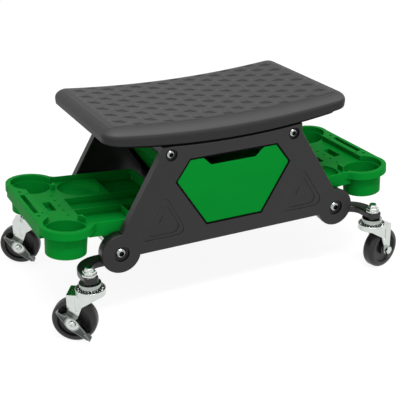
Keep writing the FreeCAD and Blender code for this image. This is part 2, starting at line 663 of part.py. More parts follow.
def drawer_guide(label, sign):
    """A folded rail under one side of the drawer, with a tab at each end."""
    body = new_body(label)
    section = new_sketch(body, FRONT, "-guide_half")
    low = "guide_top - guide_thickness"
    draw(section, [
        (f"{sign}guide_inner", low),
        (f"{sign}guide_outer", low),
        (f"{sign}guide_outer", "guide_top + guide_lip"),
        (f"{sign}(guide_outer - guide_thickness)", "guide_top + guide_lip"),
        (f"{sign}(guide_outer - guide_thickness)", "guide_top"),
        (f"{sign}guide_inner", "guide_top"),
    ])
    pad(body, section, "2 * guide_half")
    tabs = box_corners(f"{sign}guide_inner", f"{sign}(guide_inner + guide_tab_width)",
                       "guide_top - guide_tab_height", "guide_top")
    holes = new_sketch(body, FRONT, "guide_half")
    for offset, away in (("guide_half", True), ("-guide_half", False)):
        tab = new_sketch(body, FRONT, offset)
        draw(tab, tabs)
        pad(body, tab, "guide_thickness", away=away)
    ring(holes, *guide_screw_places(sign), "guide_screw_radius + guide_screw_slack")
    pocket(body, holes, "2 * guide_half", away=True)


def guide_screws():
    """Screws through the guides' tabs into the panels' bosses."""
    screws = []
    for sign in ("", "-"):
        x, z = guide_screw_places(sign)
        for side, turn in (("-", AGAINST_Y), ("", ALONG_Y)):
            place = Placement(spot(x, f"{side}(guide_half - guide_thickness)", z), turn)
            screws.append(screw(f"guide_screw_{len(screws) + 1}", place, "guide_screw_head",
                                "guide_screw_head_height", "guide_screw_radius",
                                "guide_thickness + guide_screw_depth", "guide_screw_radius * 0.7"))
    group("guide_screws", screws)


def tray_place(side):
    """A tray's own frame: its rim lies in z = 0 and slopes up away from the seat."""
    angle = size("tray_slope")
    tilt = Rotation(Vector(0, 1, 0), -angle)
    reach = tilt.multVec(spot("tray_pivot_x", "0", "0"))
    base = spot("tray_pivot_x", "0", "tray_pivot_z") - reach
    tilted = Placement(base, tilt)
    return tilted if side == "right" else Placement(Vector(), HALF_TURN).multiply(tilted)


CUP_SIDES = ("", "-")


def tray(label, side):
    """A moulded organiser: bins by the seat, a deck with tool holes, a cup at each outer corner."""
    body = new_body(label, tray_place(side))
    bins = new_sketch(body, TOP)
    draw(bins, [
        ("tray_inner", "-tray_half", "tray_corner_round"),
        ("deck_inner + bin_wall", "-tray_half"),
        ("deck_inner + bin_wall", "tray_half"),
        ("tray_inner", "tray_half", "tray_corner_round"),
    ])
    pad(body, bins, "tray_depth", away=True)
    end = new_sketch(body, TOP)
    draw(end, box_corners("deck_inner", "tray_end", "-cup_y", "cup_y"))
    pad(body, end, "tray_end_depth", away=True)
    neck = new_sketch(body, TOP)
    draw(neck, box_corners("deck_inner", "cup_x", "-tray_half", "tray_half"))
    pad(body, neck, "cup_lip_depth", away=True)
    lips, shanks = new_sketch(body, TOP), new_sketch(body, TOP)
    mouths, wells = new_sketch(body, TOP), new_sketch(body, TOP)
    for sign in CUP_SIDES:
        ring(lips, "cup_x", f"{sign}cup_y", "cup_lip")
        ring(shanks, "cup_x", f"{sign}cup_y", "cup_outside")
        ring(mouths, "cup_x", f"{sign}cup_y", "cup_mouth")
        ring(wells, "cup_x", f"{sign}cup_y", "cup_inside")
    collar = pad(body, lips, "cup_lip_depth", away=True)
    neck_x = size("cup_x - sqrt(cup_lip^2 - (tray_half - cup_y)^2)")
    at_neck = lambda edge, middle, along: (
        abs(along.z) > 0.99
        and abs(middle.x - neck_x) < 1
        and abs(abs(middle.y) - size("tray_half")) < 1
    )
    fillet(body, collar, edge_names(collar, at_neck), "neck_round")
    well = pad(body, shanks, "cup_depth", away=True)
    well.setExpression("TaperAngle", cells("-cup_taper"))
    sunk = new_sketch(body, TOP)
    draw(sunk, [
        ("tray_inner + tray_wall", "-(tray_half - tray_wall)", "tray_corner_round - tray_wall"),
        ("deck_inner", "-(tray_half - tray_wall)"),
        ("deck_inner", "-deck_half"),
        ("ridge_inner", "-deck_half"),
        ("ridge_inner", "deck_half"),
        ("deck_inner", "deck_half"),
        ("deck_inner", "tray_half - tray_wall"),
        ("tray_inner + tray_wall", "tray_half - tray_wall", "tray_corner_round - tray_wall"),
    ])
    pocket(body, sunk, "deck_drop", away=True)
    pocket(body, mouths, "deck_drop", away=True)
    bored = pocket(body, wells, "cup_depth - tray_wall", away=True)
    bored.setExpression("TaperAngle", cells("-cup_taper"))
    tray_bins(body)
    tray_holes(body)
    under = new_sketch(body, TOP, "-tray_end_depth")
    draw(under, box_corners("deck_inner + bin_wall", "tray_end - tray_wall", "-under_half", "under_half"))
    pocket(body, under, "tray_end_depth - deck_drop - tray_wall")
    well, slot = new_sketch(body, TOP, "-tray_end_depth"), new_sketch(body, TOP, "-deck_drop")
    draw(well, deck_slot_corners("tray_wall"))
    pad(body, well, "tray_end_depth - deck_drop")
    draw(slot, deck_slot_corners("0"))
    pocket(body, slot, "tray_end_depth - deck_drop - tray_wall", away=True)
    ridge = new_sketch(body, TOP, "-tray_end_depth")
    hollow_half = "ridge_slot_half + ridge_square + tray_wall"
    draw(ridge, box_corners("ridge_inner + tray_wall", "tray_end - tray_wall",
                            f"-({hollow_half})", hollow_half))
    pocket(body, ridge, "tray_end_depth - tray_wall")
    foot_holes = new_sketch(body, TOP, "-tray_depth")
    for sign in ("", "-"):
        ring(foot_holes, *tray_screw_place(sign), "bracket_screw_radius + thread_slack")
    drilled = pocket(body, foot_holes, "tray_wall")
    rim = max((f for f in drilled.Shape.Faces if abs(f.CenterOfMass.z) < 1e-3), key=lambda f: f.Area)
    fillet(body, drilled, edges_like(drilled, rim.OuterWire.Edges), "tray_rim_round")


def deck_slot_corners(wall):
    """The deck's slot, which has a floor of its own, moved out by a wall."""
    half_width, half = f"(deck_slot_width / 2 + {wall})", f"(deck_slot_half + {wall})"
    return box_corners(f"deck_slot_x - {half_width}", f"deck_slot_x + {half_width}", f"-{half}", half)


def tray_bins(body):
    """A long middle bin, two short bins each side of it, and a rounded bowl in one of them."""
    start, stop = "tray_inner + tray_wall", "deck_inner"
    inner, outer = "bin_divider + bin_wall / 2", "tray_half - tray_wall"
    cross = ("bin_cross_wall - bin_wall / 2", "bin_cross_wall + bin_wall / 2")
    boxes = new_sketch(body, TOP, "-deck_drop")
    draw(boxes, box_corners(start, stop, "-(bin_divider - bin_wall / 2)", "bin_divider - bin_wall / 2"))
    draw(boxes, box_corners(start, cross[0], inner, outer))
    draw(boxes, box_corners(cross[1], stop, inner, outer))
    draw(boxes, box_corners(start, cross[0], f"-({outer})", f"-({inner})"))
    depth = "tray_depth - tray_wall - deck_drop"
    pocket(body, boxes, depth, away=True)
    bowl = new_sketch(body, TOP, "-deck_drop")
    bowl_x, bowl_y = f"(({cross[1]}) + ({stop})) / 2", f"-(({inner}) + ({outer})) / 2"
    bowl_radius = f"min({stop} - ({cross[1]}); {outer} - ({inner})) / 2 - bowl_margin"
    ring(bowl, bowl_x, bowl_y, bowl_radius)
    dish = pocket(body, bowl, depth, away=True)
    floor_z = -size("tray_depth - tray_wall")
    centre = Vector(size(bowl_x), size(bowl_y), floor_z)
    at_floor = lambda edge, middle, along: (
        abs(middle.z - floor_z) < 1e-3
        and abs(Vector(middle.x, middle.y, floor_z).distanceToPoint(centre) - size(bowl_radius)) < 1e-2
    )
    fillet(body, dish, edge_names(dish, at_floor), f"min(bowl_round; {depth} - 1)")


def tray_holes(body):
    """Bit holes in the deck; a long slot, round holes and squares in the outer ridge."""
    cuts = new_sketch(body, TOP)
    for number in range(BIT_HOLES):
        ring(cuts, "bit_hole_x", f"({number} - {BIT_HOLES - 1} / 2) * bit_hole_step", "bit_hole_radius")
    draw(cuts, box_corners("ridge_slot_inner", "ridge_slot_outer", "-ridge_slot_half", "ridge_slot_half"))
    for sign in ("", "-"):
        ring(cuts, "ridge_hole_x", f"{sign}ridge_hole_y", "ridge_hole_radius")
        middle, half = f"{sign}(ridge_slot_half + ridge_square / 2)", "ridge_square / 2"
        draw(cuts, box_corners(f"ridge_square_x - {half}", f"ridge_square_x + {half}",
                               f"{middle} - {half}", f"{middle} + {half}"))
    pocket(body, cuts, "tray_end_depth", away=True)


def tray_screw_place(sign):
    """Where a bracket is screwed to the tray's floor, in the tray's own frame."""
    return "bracket_start + bracket_length / 2", f"{sign}(face_inside - tray_screw_inset)"


def tray_bracket(label, side, sign):
    """An angle from the panel's inner face to the tray's floor, square to the tray."""
    body = new_body(label, tray_place(side))
    section = new_sketch(body, SIDE, "bracket_start")
    wall, reach = f"{sign}(face_inside)", f"{sign}(face_inside - bracket_reach)"
    near = f"{sign}(face_inside - bracket_thickness)"
    draw(section, [
        (wall, "-tray_depth"),
        (wall, "-tray_depth - bracket_drop"),
        (near, "-tray_depth - bracket_drop"),
        (near, "-tray_depth - bracket_thickness"),
        (reach, "-tray_depth - bracket_thickness"),
        (reach, "-tray_depth"),
    ])
    pad(body, section, "bracket_length")
    foot = new_sketch(body, TOP, "-tray_depth")
    ring(foot, *tray_screw_place(sign), "bracket_screw_radius + guide_screw_slack")
    pocket(body, foot, "bracket_thickness", away=True)
    wall_hole = new_sketch(body, FRONT, f"-({wall})")
    ring(wall_hole, "bracket_start + bracket_length / 2", "-tray_depth - bracket_screw_drop",
         "bracket_screw_radius + guide_screw_slack")
    pocket(body, wall_hole, "bracket_thickness", away=sign == "-")


def bracket_screws():
    """Screws from the brackets up into the trays, and out into the panels."""
    floor_screws, wall_screws = [], []
    for side in ("left", "right"):
        frame = tray_place(side)
        for sign in ("", "-"):
            x, y = tray_screw_place(sign)
            foot = Placement(spot(x, y, "-tray_depth - bracket_thickness"), UPRIGHT)
            floor_screws.append(screw(f"tray_screw_{len(floor_screws) + 1}", frame.multiply(foot),
                                      "bracket_screw_head", "bracket_screw_head_height",
                                      "bracket_screw_radius", "bracket_thickness + tray_wall",
                                      "bracket_screw_radius * 0.7"))
            wall = spot(x, f"{sign}(face_inside - bracket_thickness)", "-tray_depth - bracket_screw_drop")
            turned = Placement(wall, AGAINST_Y if sign else ALONG_Y)
            wall_screws.append(screw(f"bracket_screw_{len(wall_screws) + 1}", frame.multiply(turned),
                                     "bracket_screw_head", "bracket_screw_head_height",
                                     "bracket_screw_radius", "bracket_thickness",
                                     "bracket_screw_radius * 0.7"))
    group("tray_screws", floor_screws)
    group("bracket_screws", wall_screws)


def arm(label, x_sign, y_sign):
    """A flat curved arm: a hub behind the panel's lobe, and an end that takes the caster's stem."""
    body = new_body(label)
    toward = y_sign == "-"
    bar = new_sketch(body, TOP, "arm_bottom")
    outside, inside = "stem_x + arm_width / 2", "stem_x - arm_width / 2"
    end = "stem_y + arm_end_reach"
    draw(bar, [
        (f"{x_sign}(lobe_x - arm_root)", f"{y_sign}arm_inner"),
        (f"{x_sign}({outside})", f"{y_sign}arm_inner", "arm_bend + arm_width"),
        (f"{x_sign}({outside})", f"{y_sign}({end})", "arm_end_round"),
        (f"{x_sign}({inside})", f"{y_sign}({end})", "arm_end_round"),
        (f"{x_sign}({inside})", f"{y_sign}(arm_inner + arm_width)", "arm_bend"),
        (f"{x_sign}(lobe_x - arm_root)", f"{y_sign}(arm_inner + arm_width)"),
    ])
    block = pad(body, bar, "arm_thickness")
    fillet(body, block, loop_of(block, True) + loop_of(block, False), "arm_edge_round")
    hub = new_sketch(body, FRONT, "hub_face" if toward else "-hub_face")
    ring(hub, f"{x_sign}lobe_x", "lobe_z", "hub_radius")
    pad(body, hub, "hub_length", away=toward)
    bore = new_sketch(body, FRONT, "hub_face" if toward else "-hub_face")
    ring(bore, f"{x_sign}lobe_x", "lobe_z", "shaft_radius + fit_slack")
    pocket(body, bore, "hub_length", away=toward)
    stem_hole = new_sketch(body, TOP, "arm_bottom")
    ring(stem_hole, f"{x_sign}stem_x", f"{y_sign}stem_y", "stem_radius + hole_slack")
    pocket(body, stem_hole, "arm_thickness")


CORNERS = {
    "front_left": ("-", "-"), "front_right": ("", "-"),
    "rear_left": ("-", ""), "rear_right": ("", ""),
}
BRAKED = ("front_left", "rear_left")


def stem_fasteners():
    """A washer and a nut on each caster stem, above its arm."""
    washers, nuts = [], []
    for x_sign, y_sign in CORNERS.values():
        number = len(nuts) + 1
        top = spot(f"{x_sign}stem_x", f"{y_sign}stem_y", "arm_top")
        plate = solid("Cylinder", f"washer_plate_{number}", Radius="washer_radius", Height="washer_thickness")
        hole = solid("Cylinder", f"washer_hole_{number}", Radius="stem_radius + hole_slack",
                     Height="washer_thickness")
        washers.append(bored(f"stem_washer_{number}", plate, hole, Placement(top, UPRIGHT)))
        top = top + Vector(0, 0, size("washer_thickness"))
        seat = Placement(top, UPRIGHT)
        nuts.append(nut(f"stem_nut_{number}", seat, "nut_across", "nut_height", "stem_radius"))
    group("stem_washers", washers)
    group("stem_nuts", nuts)


def bored(name, base, tool, place):
    """One solid with another cut out of it."""
    made = doc.addObject("Part::Cut", name)
    made.Base, made.Tool = base, tool
    made.Placement = place
    return made


def nut(name, place, across, height, radius):
    """A hexagon nut whose lower face lies in its own z = 0."""
    block = solid("Prism", f"{name}_block", Circumradius=f"{across} / sqrt(3)", Height=height)
    dome = solid("Cone", f"{name}_dome", Radius1=f"{across} / sqrt(3) + {height} * 0.9",
                 Radius2=f"{across} / 2 - nut_chamfer * 0.2", Height=height)
    faced = doc.addObject("Part::Common", f"{name}_faced")
    faced.Base, faced.Tool = block, dome
    hole = solid("Cylinder", f"{name}_hole", Radius=f"{radius} + thread_slack", Height=height)
    return bored(name, faced, hole, place)


def caster(corner):
    """One caster: a stem in the arm, a fork that swivels on it, and a wheel on the fork's axle."""
    x_sign, y_sign = CORNERS[corner]
    turn = Rotation(Vector(0, 0, 1), size(f"{corner}_heading"))
    swivel = Placement(spot(f"{x_sign}stem_x", f"{y_sign}stem_y", "0"), turn)
    axle = swivel.multiply(Placement(spot("trail", "0", "wheel_radius"), UPRIGHT))
    caster_stem(f"{corner}_stem", swivel)
    caster_balls(f"{corner}_race_balls", swivel)
    caster_fork(f"{corner}_fork", swivel)
    caster_wheel(f"{corner}_wheel", axle)
    wheel_bush(f"{corner}_wheel_bush", axle)
    axle_bolt(f"{corner}_axle", axle, corner in BRAKED)
    if corner in BRAKED:
        brake_lever(f"{corner}_brake_lever", axle)


def caster_stem(label, place):
    """A turned stem: thread above, top cup over the balls, and a kingpin riveted under the fork."""
    body = new_body(label, place)
    half = new_sketch(body, FRONT)
    top = f"arm_top + washer_thickness + nut_height + stem_above_nut"
    head_top = "crown_bottom - kingpin_gap"
    draw(half, [
        ("0", f"{head_top} - kingpin_head_height"),
        ("kingpin_radius + kingpin_flare", f"{head_top} - kingpin_head_height"),
        ("kingpin_radius + kingpin_flare", head_top),
        ("kingpin_radius", head_top),
        ("kingpin_radius", "cap_bottom"),
        ("cap_radius", "cap_bottom"),
        ("cap_radius", "cap_step"),
        ("cap_radius + cap_flare", "cap_step"),
        ("cap_radius + cap_flare", "arm_bottom"),
        ("stem_radius", "arm_bottom"),
        ("stem_radius", top),
        ("0", top),
    ])
    revolve(body, half)


def caster_balls(label, place):
    """The ring of bearing balls between the top cup and the fork's race."""
    track = "(cap_radius + race_radius - race_wall) / 2"
    balls = []
    for number in range(BALL_COUNT):
        ball = solid("Sphere", f"{label}_{number + 1}", Radius="ball_radius")
        angle = 2 * math.pi * number / BALL_COUNT
        radius = size(track)
        height = size(f"crown_top + ball_radius + ball_gap")
        ball.Placement.Base = Vector(radius * math.cos(angle), radius * math.sin(angle), height)
        balls.append(ball)
    group(label, balls, place)


def caster_fork(label, place):
    """A pressed fork: a crown with a raised race, and two legs that taper to the axle."""
    body = new_body(label, place)
    crown = new_sketch(body, TOP, "crown_bottom")
    ring(crown, "0", "0", "race_radius")
    pad(body, crown, "crown_thickness")
    bridge = new_sketch(body, TOP, "crown_bottom")
    draw(bridge, box_corners("0", "crown_front", f"-(leg_outside)", "leg_outside"))
    pad(body, bridge, "crown_thickness")
    race = new_sketch(body, TOP, "crown_top")
    ring(race, "0", "0", "race_radius")
    ring(race, "0", "0", "race_radius - race_wall")
    rolled = pad(body, race, "race_top - crown_top")
    at_top = lambda edge, middle, along: abs(middle.z - size("race_top")) < 1e-3
    fillet(body, rolled, edge_names(rolled, at_top), "race_round")
    for offset in ("leg_outside", "-fork_gap / 2"):
        leg = new_sketch(body, FRONT, offset)
        draw(leg, [
            ("crown_front", "crown_top"),
            ("crown_front", "wheel_radius - leg_tip", "leg_tip * 0.98"),
            ("trail - leg_tip", "wheel_radius - leg_tip", "leg_tip * 0.98"),
            ("trail - leg_tip", "wheel_radius + leg_tip"),
            ("trail - leg_waist", "crown_bottom - leg_waist_drop"),
            ("-leg_back", "crown_bottom"),
            ("-leg_back", "crown_top"),
        ])
        pad(body, leg, "fork_plate", away=True)
    bore = new_sketch(body, TOP, "crown_bottom")
    ring(bore, "0", "0", "kingpin_radius + fit_slack")
    pocket(body, bore, "crown_thickness")
    axle_holes = new_sketch(body, FRONT, "leg_outside")
    ring(axle_holes, "trail", "wheel_radius", "axle_radius + fit_slack")
    pocket(body, axle_holes, "2 * leg_outside", away=True)
    for offset, away in (("leg_outside", True), ("-leg_outside", False)):
        rib = new_sketch(body, FRONT, offset)
        draw(rib, box_corners("rib_x - rib_width / 2", "rib_x + rib_width / 2",
                              "rib_z - rib_length / 2", "rib_z + rib_length / 2", "rib_width * 0.48"))
        pocket(body, rib, "rib_depth", away=away)


def caster_wheel(label, place):
    """A moulded wheel with a round-shouldered tread and a dished web."""
    body = new_body(label, place)
    half = new_sketch(body, TOP)
    tread, hub = "wheel_width / 2", "(wheel_width + hub_proud) / 2"
    rim = "wheel_radius - wheel_rim_width"
    draw(half, [
        ("bush_radius + fit_slack", f"-{hub}"),
        ("wheel_hub_radius", f"-{hub}"),
        ("wheel_hub_radius", f"-({tread} - wheel_dish)"),
        (rim, f"-({tread} - wheel_dish)"),
        (f"{rim} + wheel_dish / 2", f"-{tread}"),
        ("wheel_radius", f"-{tread}", "wheel_shoulder"),
        ("wheel_radius", tread, "wheel_shoulder"),
        (f"{rim} + wheel_dish / 2", tread),
        (rim, f"{tread} - wheel_dish"),
        ("wheel_hub_radius", f"{tread} - wheel_dish"),
        ("wheel_hub_radius", hub),
        ("bush_radius + fit_slack", hub),
    ])
    revolve(body, half)


def wheel_bush(label, place):
    """The steel tube that the wheel turns on, held between the fork's legs."""
    body = new_body(label, place)
    wall = new_sketch(body, FRONT, "fork_gap / 2 - bush_play / 2")
    ring(wall, "0", "0", "bush_radius")
    ring(wall, "0", "0", "axle_radius + fit_slack")
    pad(body, wall, "fork_gap - bush_play", away=True)


def axle_bolt(label, place, braked):
    """A bolt across the fork with its nut; on a braked caster the lever sits under its head."""
    under_lever = "2 * lever_gap + lever_plate" if braked else "0"
    length = f"2 * (leg_outside) + {under_lever} + axle_nut_height"
    head = Placement(spot("0", f"leg_outside + {under_lever}", "0"), AGAINST_Y)
    bolt = screw(f"{label}_bolt", head, "axle_head", "axle_head_height", "axle_radius", length,
                 "axle_radius * 0.7")
    seat = Placement(spot("0", f"-(leg_outside)", "0"), AGAINST_Y)
    lock = nut(f"{label}_nut", seat, "axle_nut_across", "axle_nut_height", "axle_radius")
    group(label, [bolt, lock], place)


def brake_lever(label, place):
    """A pressed rocker on the axle outside the fork, flanged along its upper edge, a tread at each end."""
    tilt = Placement(Vector(), Rotation(Vector(0, 1, 0), -size("lever_tilt")))
    body = new_body(label, place.multiply(tilt))
    near = "-(leg_outside + lever_gap)"
    plate, flange, treads = (new_sketch(body, FRONT, near) for _ in range(3))
    upper = [
        ("lever_up", "lever_end_half", "lever_end_half / 2"),
        ("0", "lever_boss", "lever_boss"),
        ("-lever_down", "lever_end_half", "lever_end_half / 2"),
    ]
    draw(plate, [
        ("-lever_down", "-lever_end_half", "lever_end_half / 2"),
        ("0", "-lever_boss", "lever_boss"),
        ("lever_up", "-lever_end_half", "lever_end_half / 2"),
    ] + upper)
    draw(flange, [
        ("-lever_down", "lever_end_half - lever_plate"),
        ("0", "lever_boss - lever_plate"),
        ("lever_up", "lever_end_half - lever_plate"),
        ("lever_up", "lever_end_half"),
        ("0", "lever_boss", "lever_boss"),
        ("-lever_down", "lever_end_half"),
    ])
    for sign, end in (("", "lever_up"), ("-", "lever_down")):
        start = f"({end} - lever_tread)"
        high = f"(lever_boss - (lever_boss - lever_end_half) * {start} / {end})"
        draw(treads, [
            (f"{sign}{start}", f"{high} - lever_plate"),
            (f"{sign}{end}", "lever_end_half - lever_plate"),
            (f"{sign}{end}", "lever_end_half"),
            (f"{sign}{start}", high),
        ])
    pad(body, plate, "lever_plate", away=True)
    pad(body, flange, "lever_flange", away=True)
    pad(body, treads, "lever_wing", away=True)
    hole = new_sketch(body, FRONT, near)
    ring(hole, "0", "0", "axle_radius + fit_slack")
    pocket(body, hole, "lever_plate", away=True)


def build():
    """Make every node of the seat."""
    seat_pad()
    seat_pan()
    seat_screws()
    side_panel("front_side_panel", Placement())
    side_panel("rear_side_panel", Placement(Vector(), HALF_TURN))
    for side, sign in (("left", "-"), ("right", "")):
        cross_bar(f"{side}_upper_tube", f"{sign}upper_bolt_x", "upper_bolt_z", "tube_radius",
                  "upper_bolt_radius + thread_slack", "upper_bolt_grip")
        cross_bar(f"{side}_lower_shaft", f"{sign}lobe_x", "lobe_z", "shaft_radius",
                  "lower_bolt_radius + thread_slack", "lower_bolt_grip")
        drawer_guide(f"{side}_drawer_guide", sign)
        tray(f"{side}_tray", side)
    for front, sign in (("front", "-"), ("rear", "")):
        tray_bracket(f"{front}_right_tray_bracket", "right", sign)
        tray_bracket(f"{front}_left_tray_bracket", "left", "" if sign else "-")
    panel_bolts("upper_bolts", "upper_bolt_x", "upper_bolt_z", "upper_bolt_head", "upper_bolt_head_height",
                "upper_bolt_radius", "upper_bolt_grip", "upper_socket")
    panel_bolts("lower_bolts", "lobe_x", "lobe_z", "lower_bolt_head", "lower_bolt_head_height",
                "lower_bolt_radius", "lower_bolt_grip", "lower_socket")
    drawer()
    guide_screws()
    bracket_screws()
    for corner, signs in CORNERS.items():
        arm(f"{corner}_arm", *signs)
        caster(corner)
    stem_fasteners()


def export():
    """Check every object and write each node's shape."""
    doc.recompute()
    for made in doc.Objects:
        if {"Invalid", "Error"} & set(made.State):
            raise RuntimeError(f"{made.Label} failed: {made.State}")
    for node in NODES:
        if node.Shape.isNull() or not node.Shape.isValid():
            raise RuntimeError(f"{node.Label} has no valid shape")
    os.makedirs("parts", exist_ok=True)
    for node in NODES:
        node.Shape.exportStep(f"parts/{node.Label}.step")


build()
export()
print(f"{len(NODES)} nodes written")
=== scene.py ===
import json
import math

import bmesh
import bpy
from bpy.props import FloatProperty, FloatVectorProperty, PointerProperty
from mathutils import Matrix, Vector


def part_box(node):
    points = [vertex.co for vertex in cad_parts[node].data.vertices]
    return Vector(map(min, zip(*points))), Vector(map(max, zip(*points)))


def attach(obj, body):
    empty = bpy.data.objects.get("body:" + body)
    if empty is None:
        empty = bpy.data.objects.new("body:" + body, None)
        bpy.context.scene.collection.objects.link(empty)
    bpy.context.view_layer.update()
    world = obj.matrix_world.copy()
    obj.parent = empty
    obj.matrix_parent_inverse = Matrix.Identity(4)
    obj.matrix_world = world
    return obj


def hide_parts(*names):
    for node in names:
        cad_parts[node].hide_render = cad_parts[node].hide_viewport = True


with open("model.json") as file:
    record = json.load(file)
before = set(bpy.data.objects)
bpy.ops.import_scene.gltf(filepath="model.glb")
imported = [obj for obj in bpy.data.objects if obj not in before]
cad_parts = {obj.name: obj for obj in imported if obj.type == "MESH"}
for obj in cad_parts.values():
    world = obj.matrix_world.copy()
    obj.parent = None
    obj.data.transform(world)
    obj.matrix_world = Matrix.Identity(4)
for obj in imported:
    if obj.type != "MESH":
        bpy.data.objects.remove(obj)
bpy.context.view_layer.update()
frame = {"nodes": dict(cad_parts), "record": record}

bl_info = {
    "name": "Rolling mechanic seat",
    "version": (1, 0, 0),
    "blender": (4, 5, 0),
    "location": "3D View > Sidebar > Mechanic Seat",
    "description": "Dresses the seat's frame: embossed pad, moulded panels and trays, plated casters",
    "category": "Object",
}

MM = 0.001
CORNERS = ("front_left", "front_right", "rear_left", "rear_right")
BRAKED = ("front_left", "rear_left")

# sockets of a mix node that mixes colours
MIX_FIRST, MIX_SECOND, MIX_RESULT = 6, 7, 2

# moulded and coated surfaces: reach of the painted shade in inner corners and of the painted highlight on
# outer edges, and how far the roughness strays
AO_SAMPLES = 8
DRIFT_SIZE = 60 * MM
CORNER_SHADE_REACH = 9 * MM
DARKEST_AT, UNDARKENED_AT = 0.4, 0.95
EDGE_HIGHLIGHT_REACH = 0.7 * MM
GRAIN_BREAK = 0.65
GRAIN_GLOSS = (-0.06, 0.08)
GRAIN_STRENGTH = 0.5

# plated steel: blotches and drawing marks
BLOTCH_SIZE = 9 * MM
BLOTCH_SHADE = 0.82
BLOTCH_GLOSS = (-0.08, 0.12)
MARK_SIZE = 1.2 * MM
MARK_DEEP = 0.05 * MM
MARK_STRENGTH = 0.3

# rim of a bolt's hex socket, as shares of the head's radius
SOCKET_INNER, SOCKET_OUTER = 0.46, 0.54

# distances from the axle where a brake lever's painted dark reflection on its tread begins and is full, and
# width of the painted highlight along its rims
TREAD_BEGINS, TREAD_FULL = 9 * MM, 14 * MM
LEVER_RIM = 1.1 * MM

# pattern of the pad's top: shape of the lenses and bars, and place of the bars between the lenses
LENS_POINT = 0.85
LENS_EASE = 0.4
BAR_EASE = 0.8
BAR_SHIFT_X, BAR_SHIFT_Y = 0.25, 0.75

# form of the pad: shares of its height and half width, and widths of its lines
TOP_SHARE = 0.6
DRAWN_SHARE = 0.55
DRAW_BEGINS, DRAW_FULL = 0.8, 0.97
FIELD_EASE = 4 * MM
LINE_WIDE = 1.5 * MM
BEAD_OUT = 3 * MM

# painted light and shade on the pad's skin, by the upward part of its normal, which is 1 on the flat top and
# 0 on the sides: painted shade on the sides, in the lenses and in the crease, and painted highlights on the
# long edges, the bars and the bead
SIDE_BEGINS, SIDE_FULL = 0.4, 0.05
HIGHLIGHT_BEGINS, HIGHLIGHT_FULL = 0.99, 0.85
HIGHLIGHT_ENDS, HIGHLIGHT_FADES = 0.2, 0.5
HIGHLIGHT_PALING = 3.4
LINE_SHADE = 0.3
LENS_SHADE = 0.66

# width of a rubber lip's rounded edges as a share of its thickness
LIP_EDGE = 0.2

# heights on a stem nut as shares of its own height
NUT_HEX, DOME_FOOT, DOME_RIM = 0.5, 0.4, 0.9
NUT_SMOOTH = math.radians(35)

FLOOR_WIDE = 14
SENSOR_MM = 36
LIGHTS_AIM = Vector((0, 0, 0.2))


def linear(hex_colour):
    """An sRGB hex colour as linear red, green and blue."""
    parts = [int(hex_colour[i:i + 2], 16) / 255 for i in (1, 3, 5)]
    return tuple(c / 12.92 if c <= 0.04045 else ((c + 0.055) / 1.055) ** 2.4 for c in parts)


def colour(name, hex_colour, note):
    """A colour that a user can change."""
    return FloatVectorProperty(name=name, description=note, subtype="COLOR", size=3, min=0, max=1,
                               default=linear(hex_colour))


def length(name, default, note):
    """A length in metres that a user can change."""
    return FloatProperty(name=name, description=note, default=default, subtype="DISTANCE", unit="LENGTH")


def angle(name, degrees, note):
    """An angle that a user can change."""
    return FloatProperty(name=name, description=note, default=math.radians(degrees), subtype="ANGLE")


def watts(name, default, note):
    """A light's strength that a user can change."""
    return FloatProperty(name=name, description=note, default=default, unit="POWER")


def share(name, default, note):
    """A share of a whole that a user can change."""
    return FloatProperty(name=name, description=note, default=default, soft_min=0, soft_max=1,
                         subtype="FACTOR")


class SeatPadSizes(bpy.types.PropertyGroup):
    """Sizes of the moulded pad and its embossed top."""
    corner: length("Corner", 0.023, "Radius of the pad's corners seen from above")
    crown: length("Crown edge", 0.022, "Radius of the pad's upper edge")
    foot: length("Foot edge", 0.0025, "Radius of the pad's lower edge")
    dish_top: length("Top dish", 0.012, "How far the top rises at the ends")
    dish_bottom: length("Underside dish", 0.019, "How far the underside rises at the ends")
    draw_in: length("Draw-in", 0.0008, "How far the sides draw in towards the foot")
    lift: length("Lift", 0.0035, "Height of the pad's foot over the foot of its solid")
    crease_in: length("Crease inset", 0.0165, "Distance of the top's crease from the pad's outline")
    crease_deep: length("Crease depth", 0.0005, "Depth of the crease round the top")
    bead_high: length("Bead height", 0.0004, "Height of the bead outside the crease")
    voxel: length("Mesh size", 0.00176, "Spacing of the pad's mesh before it is bent")
    pitch_x: length("Emboss pitch along", 0.053, "Spacing of the lenses along the seat")
    pitch_y: length("Emboss pitch across", 0.038, "Spacing of the lenses across the seat")
    lens_turn: angle("Lens turn", -28, "Turn of the lenses from the seat's length")
    lens_long: length("Lens length", 0.029, "Length of one pressed lens")
    lens_wide: length("Lens width", 0.022, "Width of one pressed lens")
    lens_deep: length("Lens depth", 0.0013, "Depth of one pressed lens")
    bar_long: length("Bar length", 0.030, "Length of one raised bar between the lenses")
    bar_wide: length("Bar width", 0.0044, "Width of one raised bar")
    bar_high: length("Bar height", 0.0006, "Height of one raised bar")
    margin: length("Margin", 0.0185, "Plain border round the embossed field")


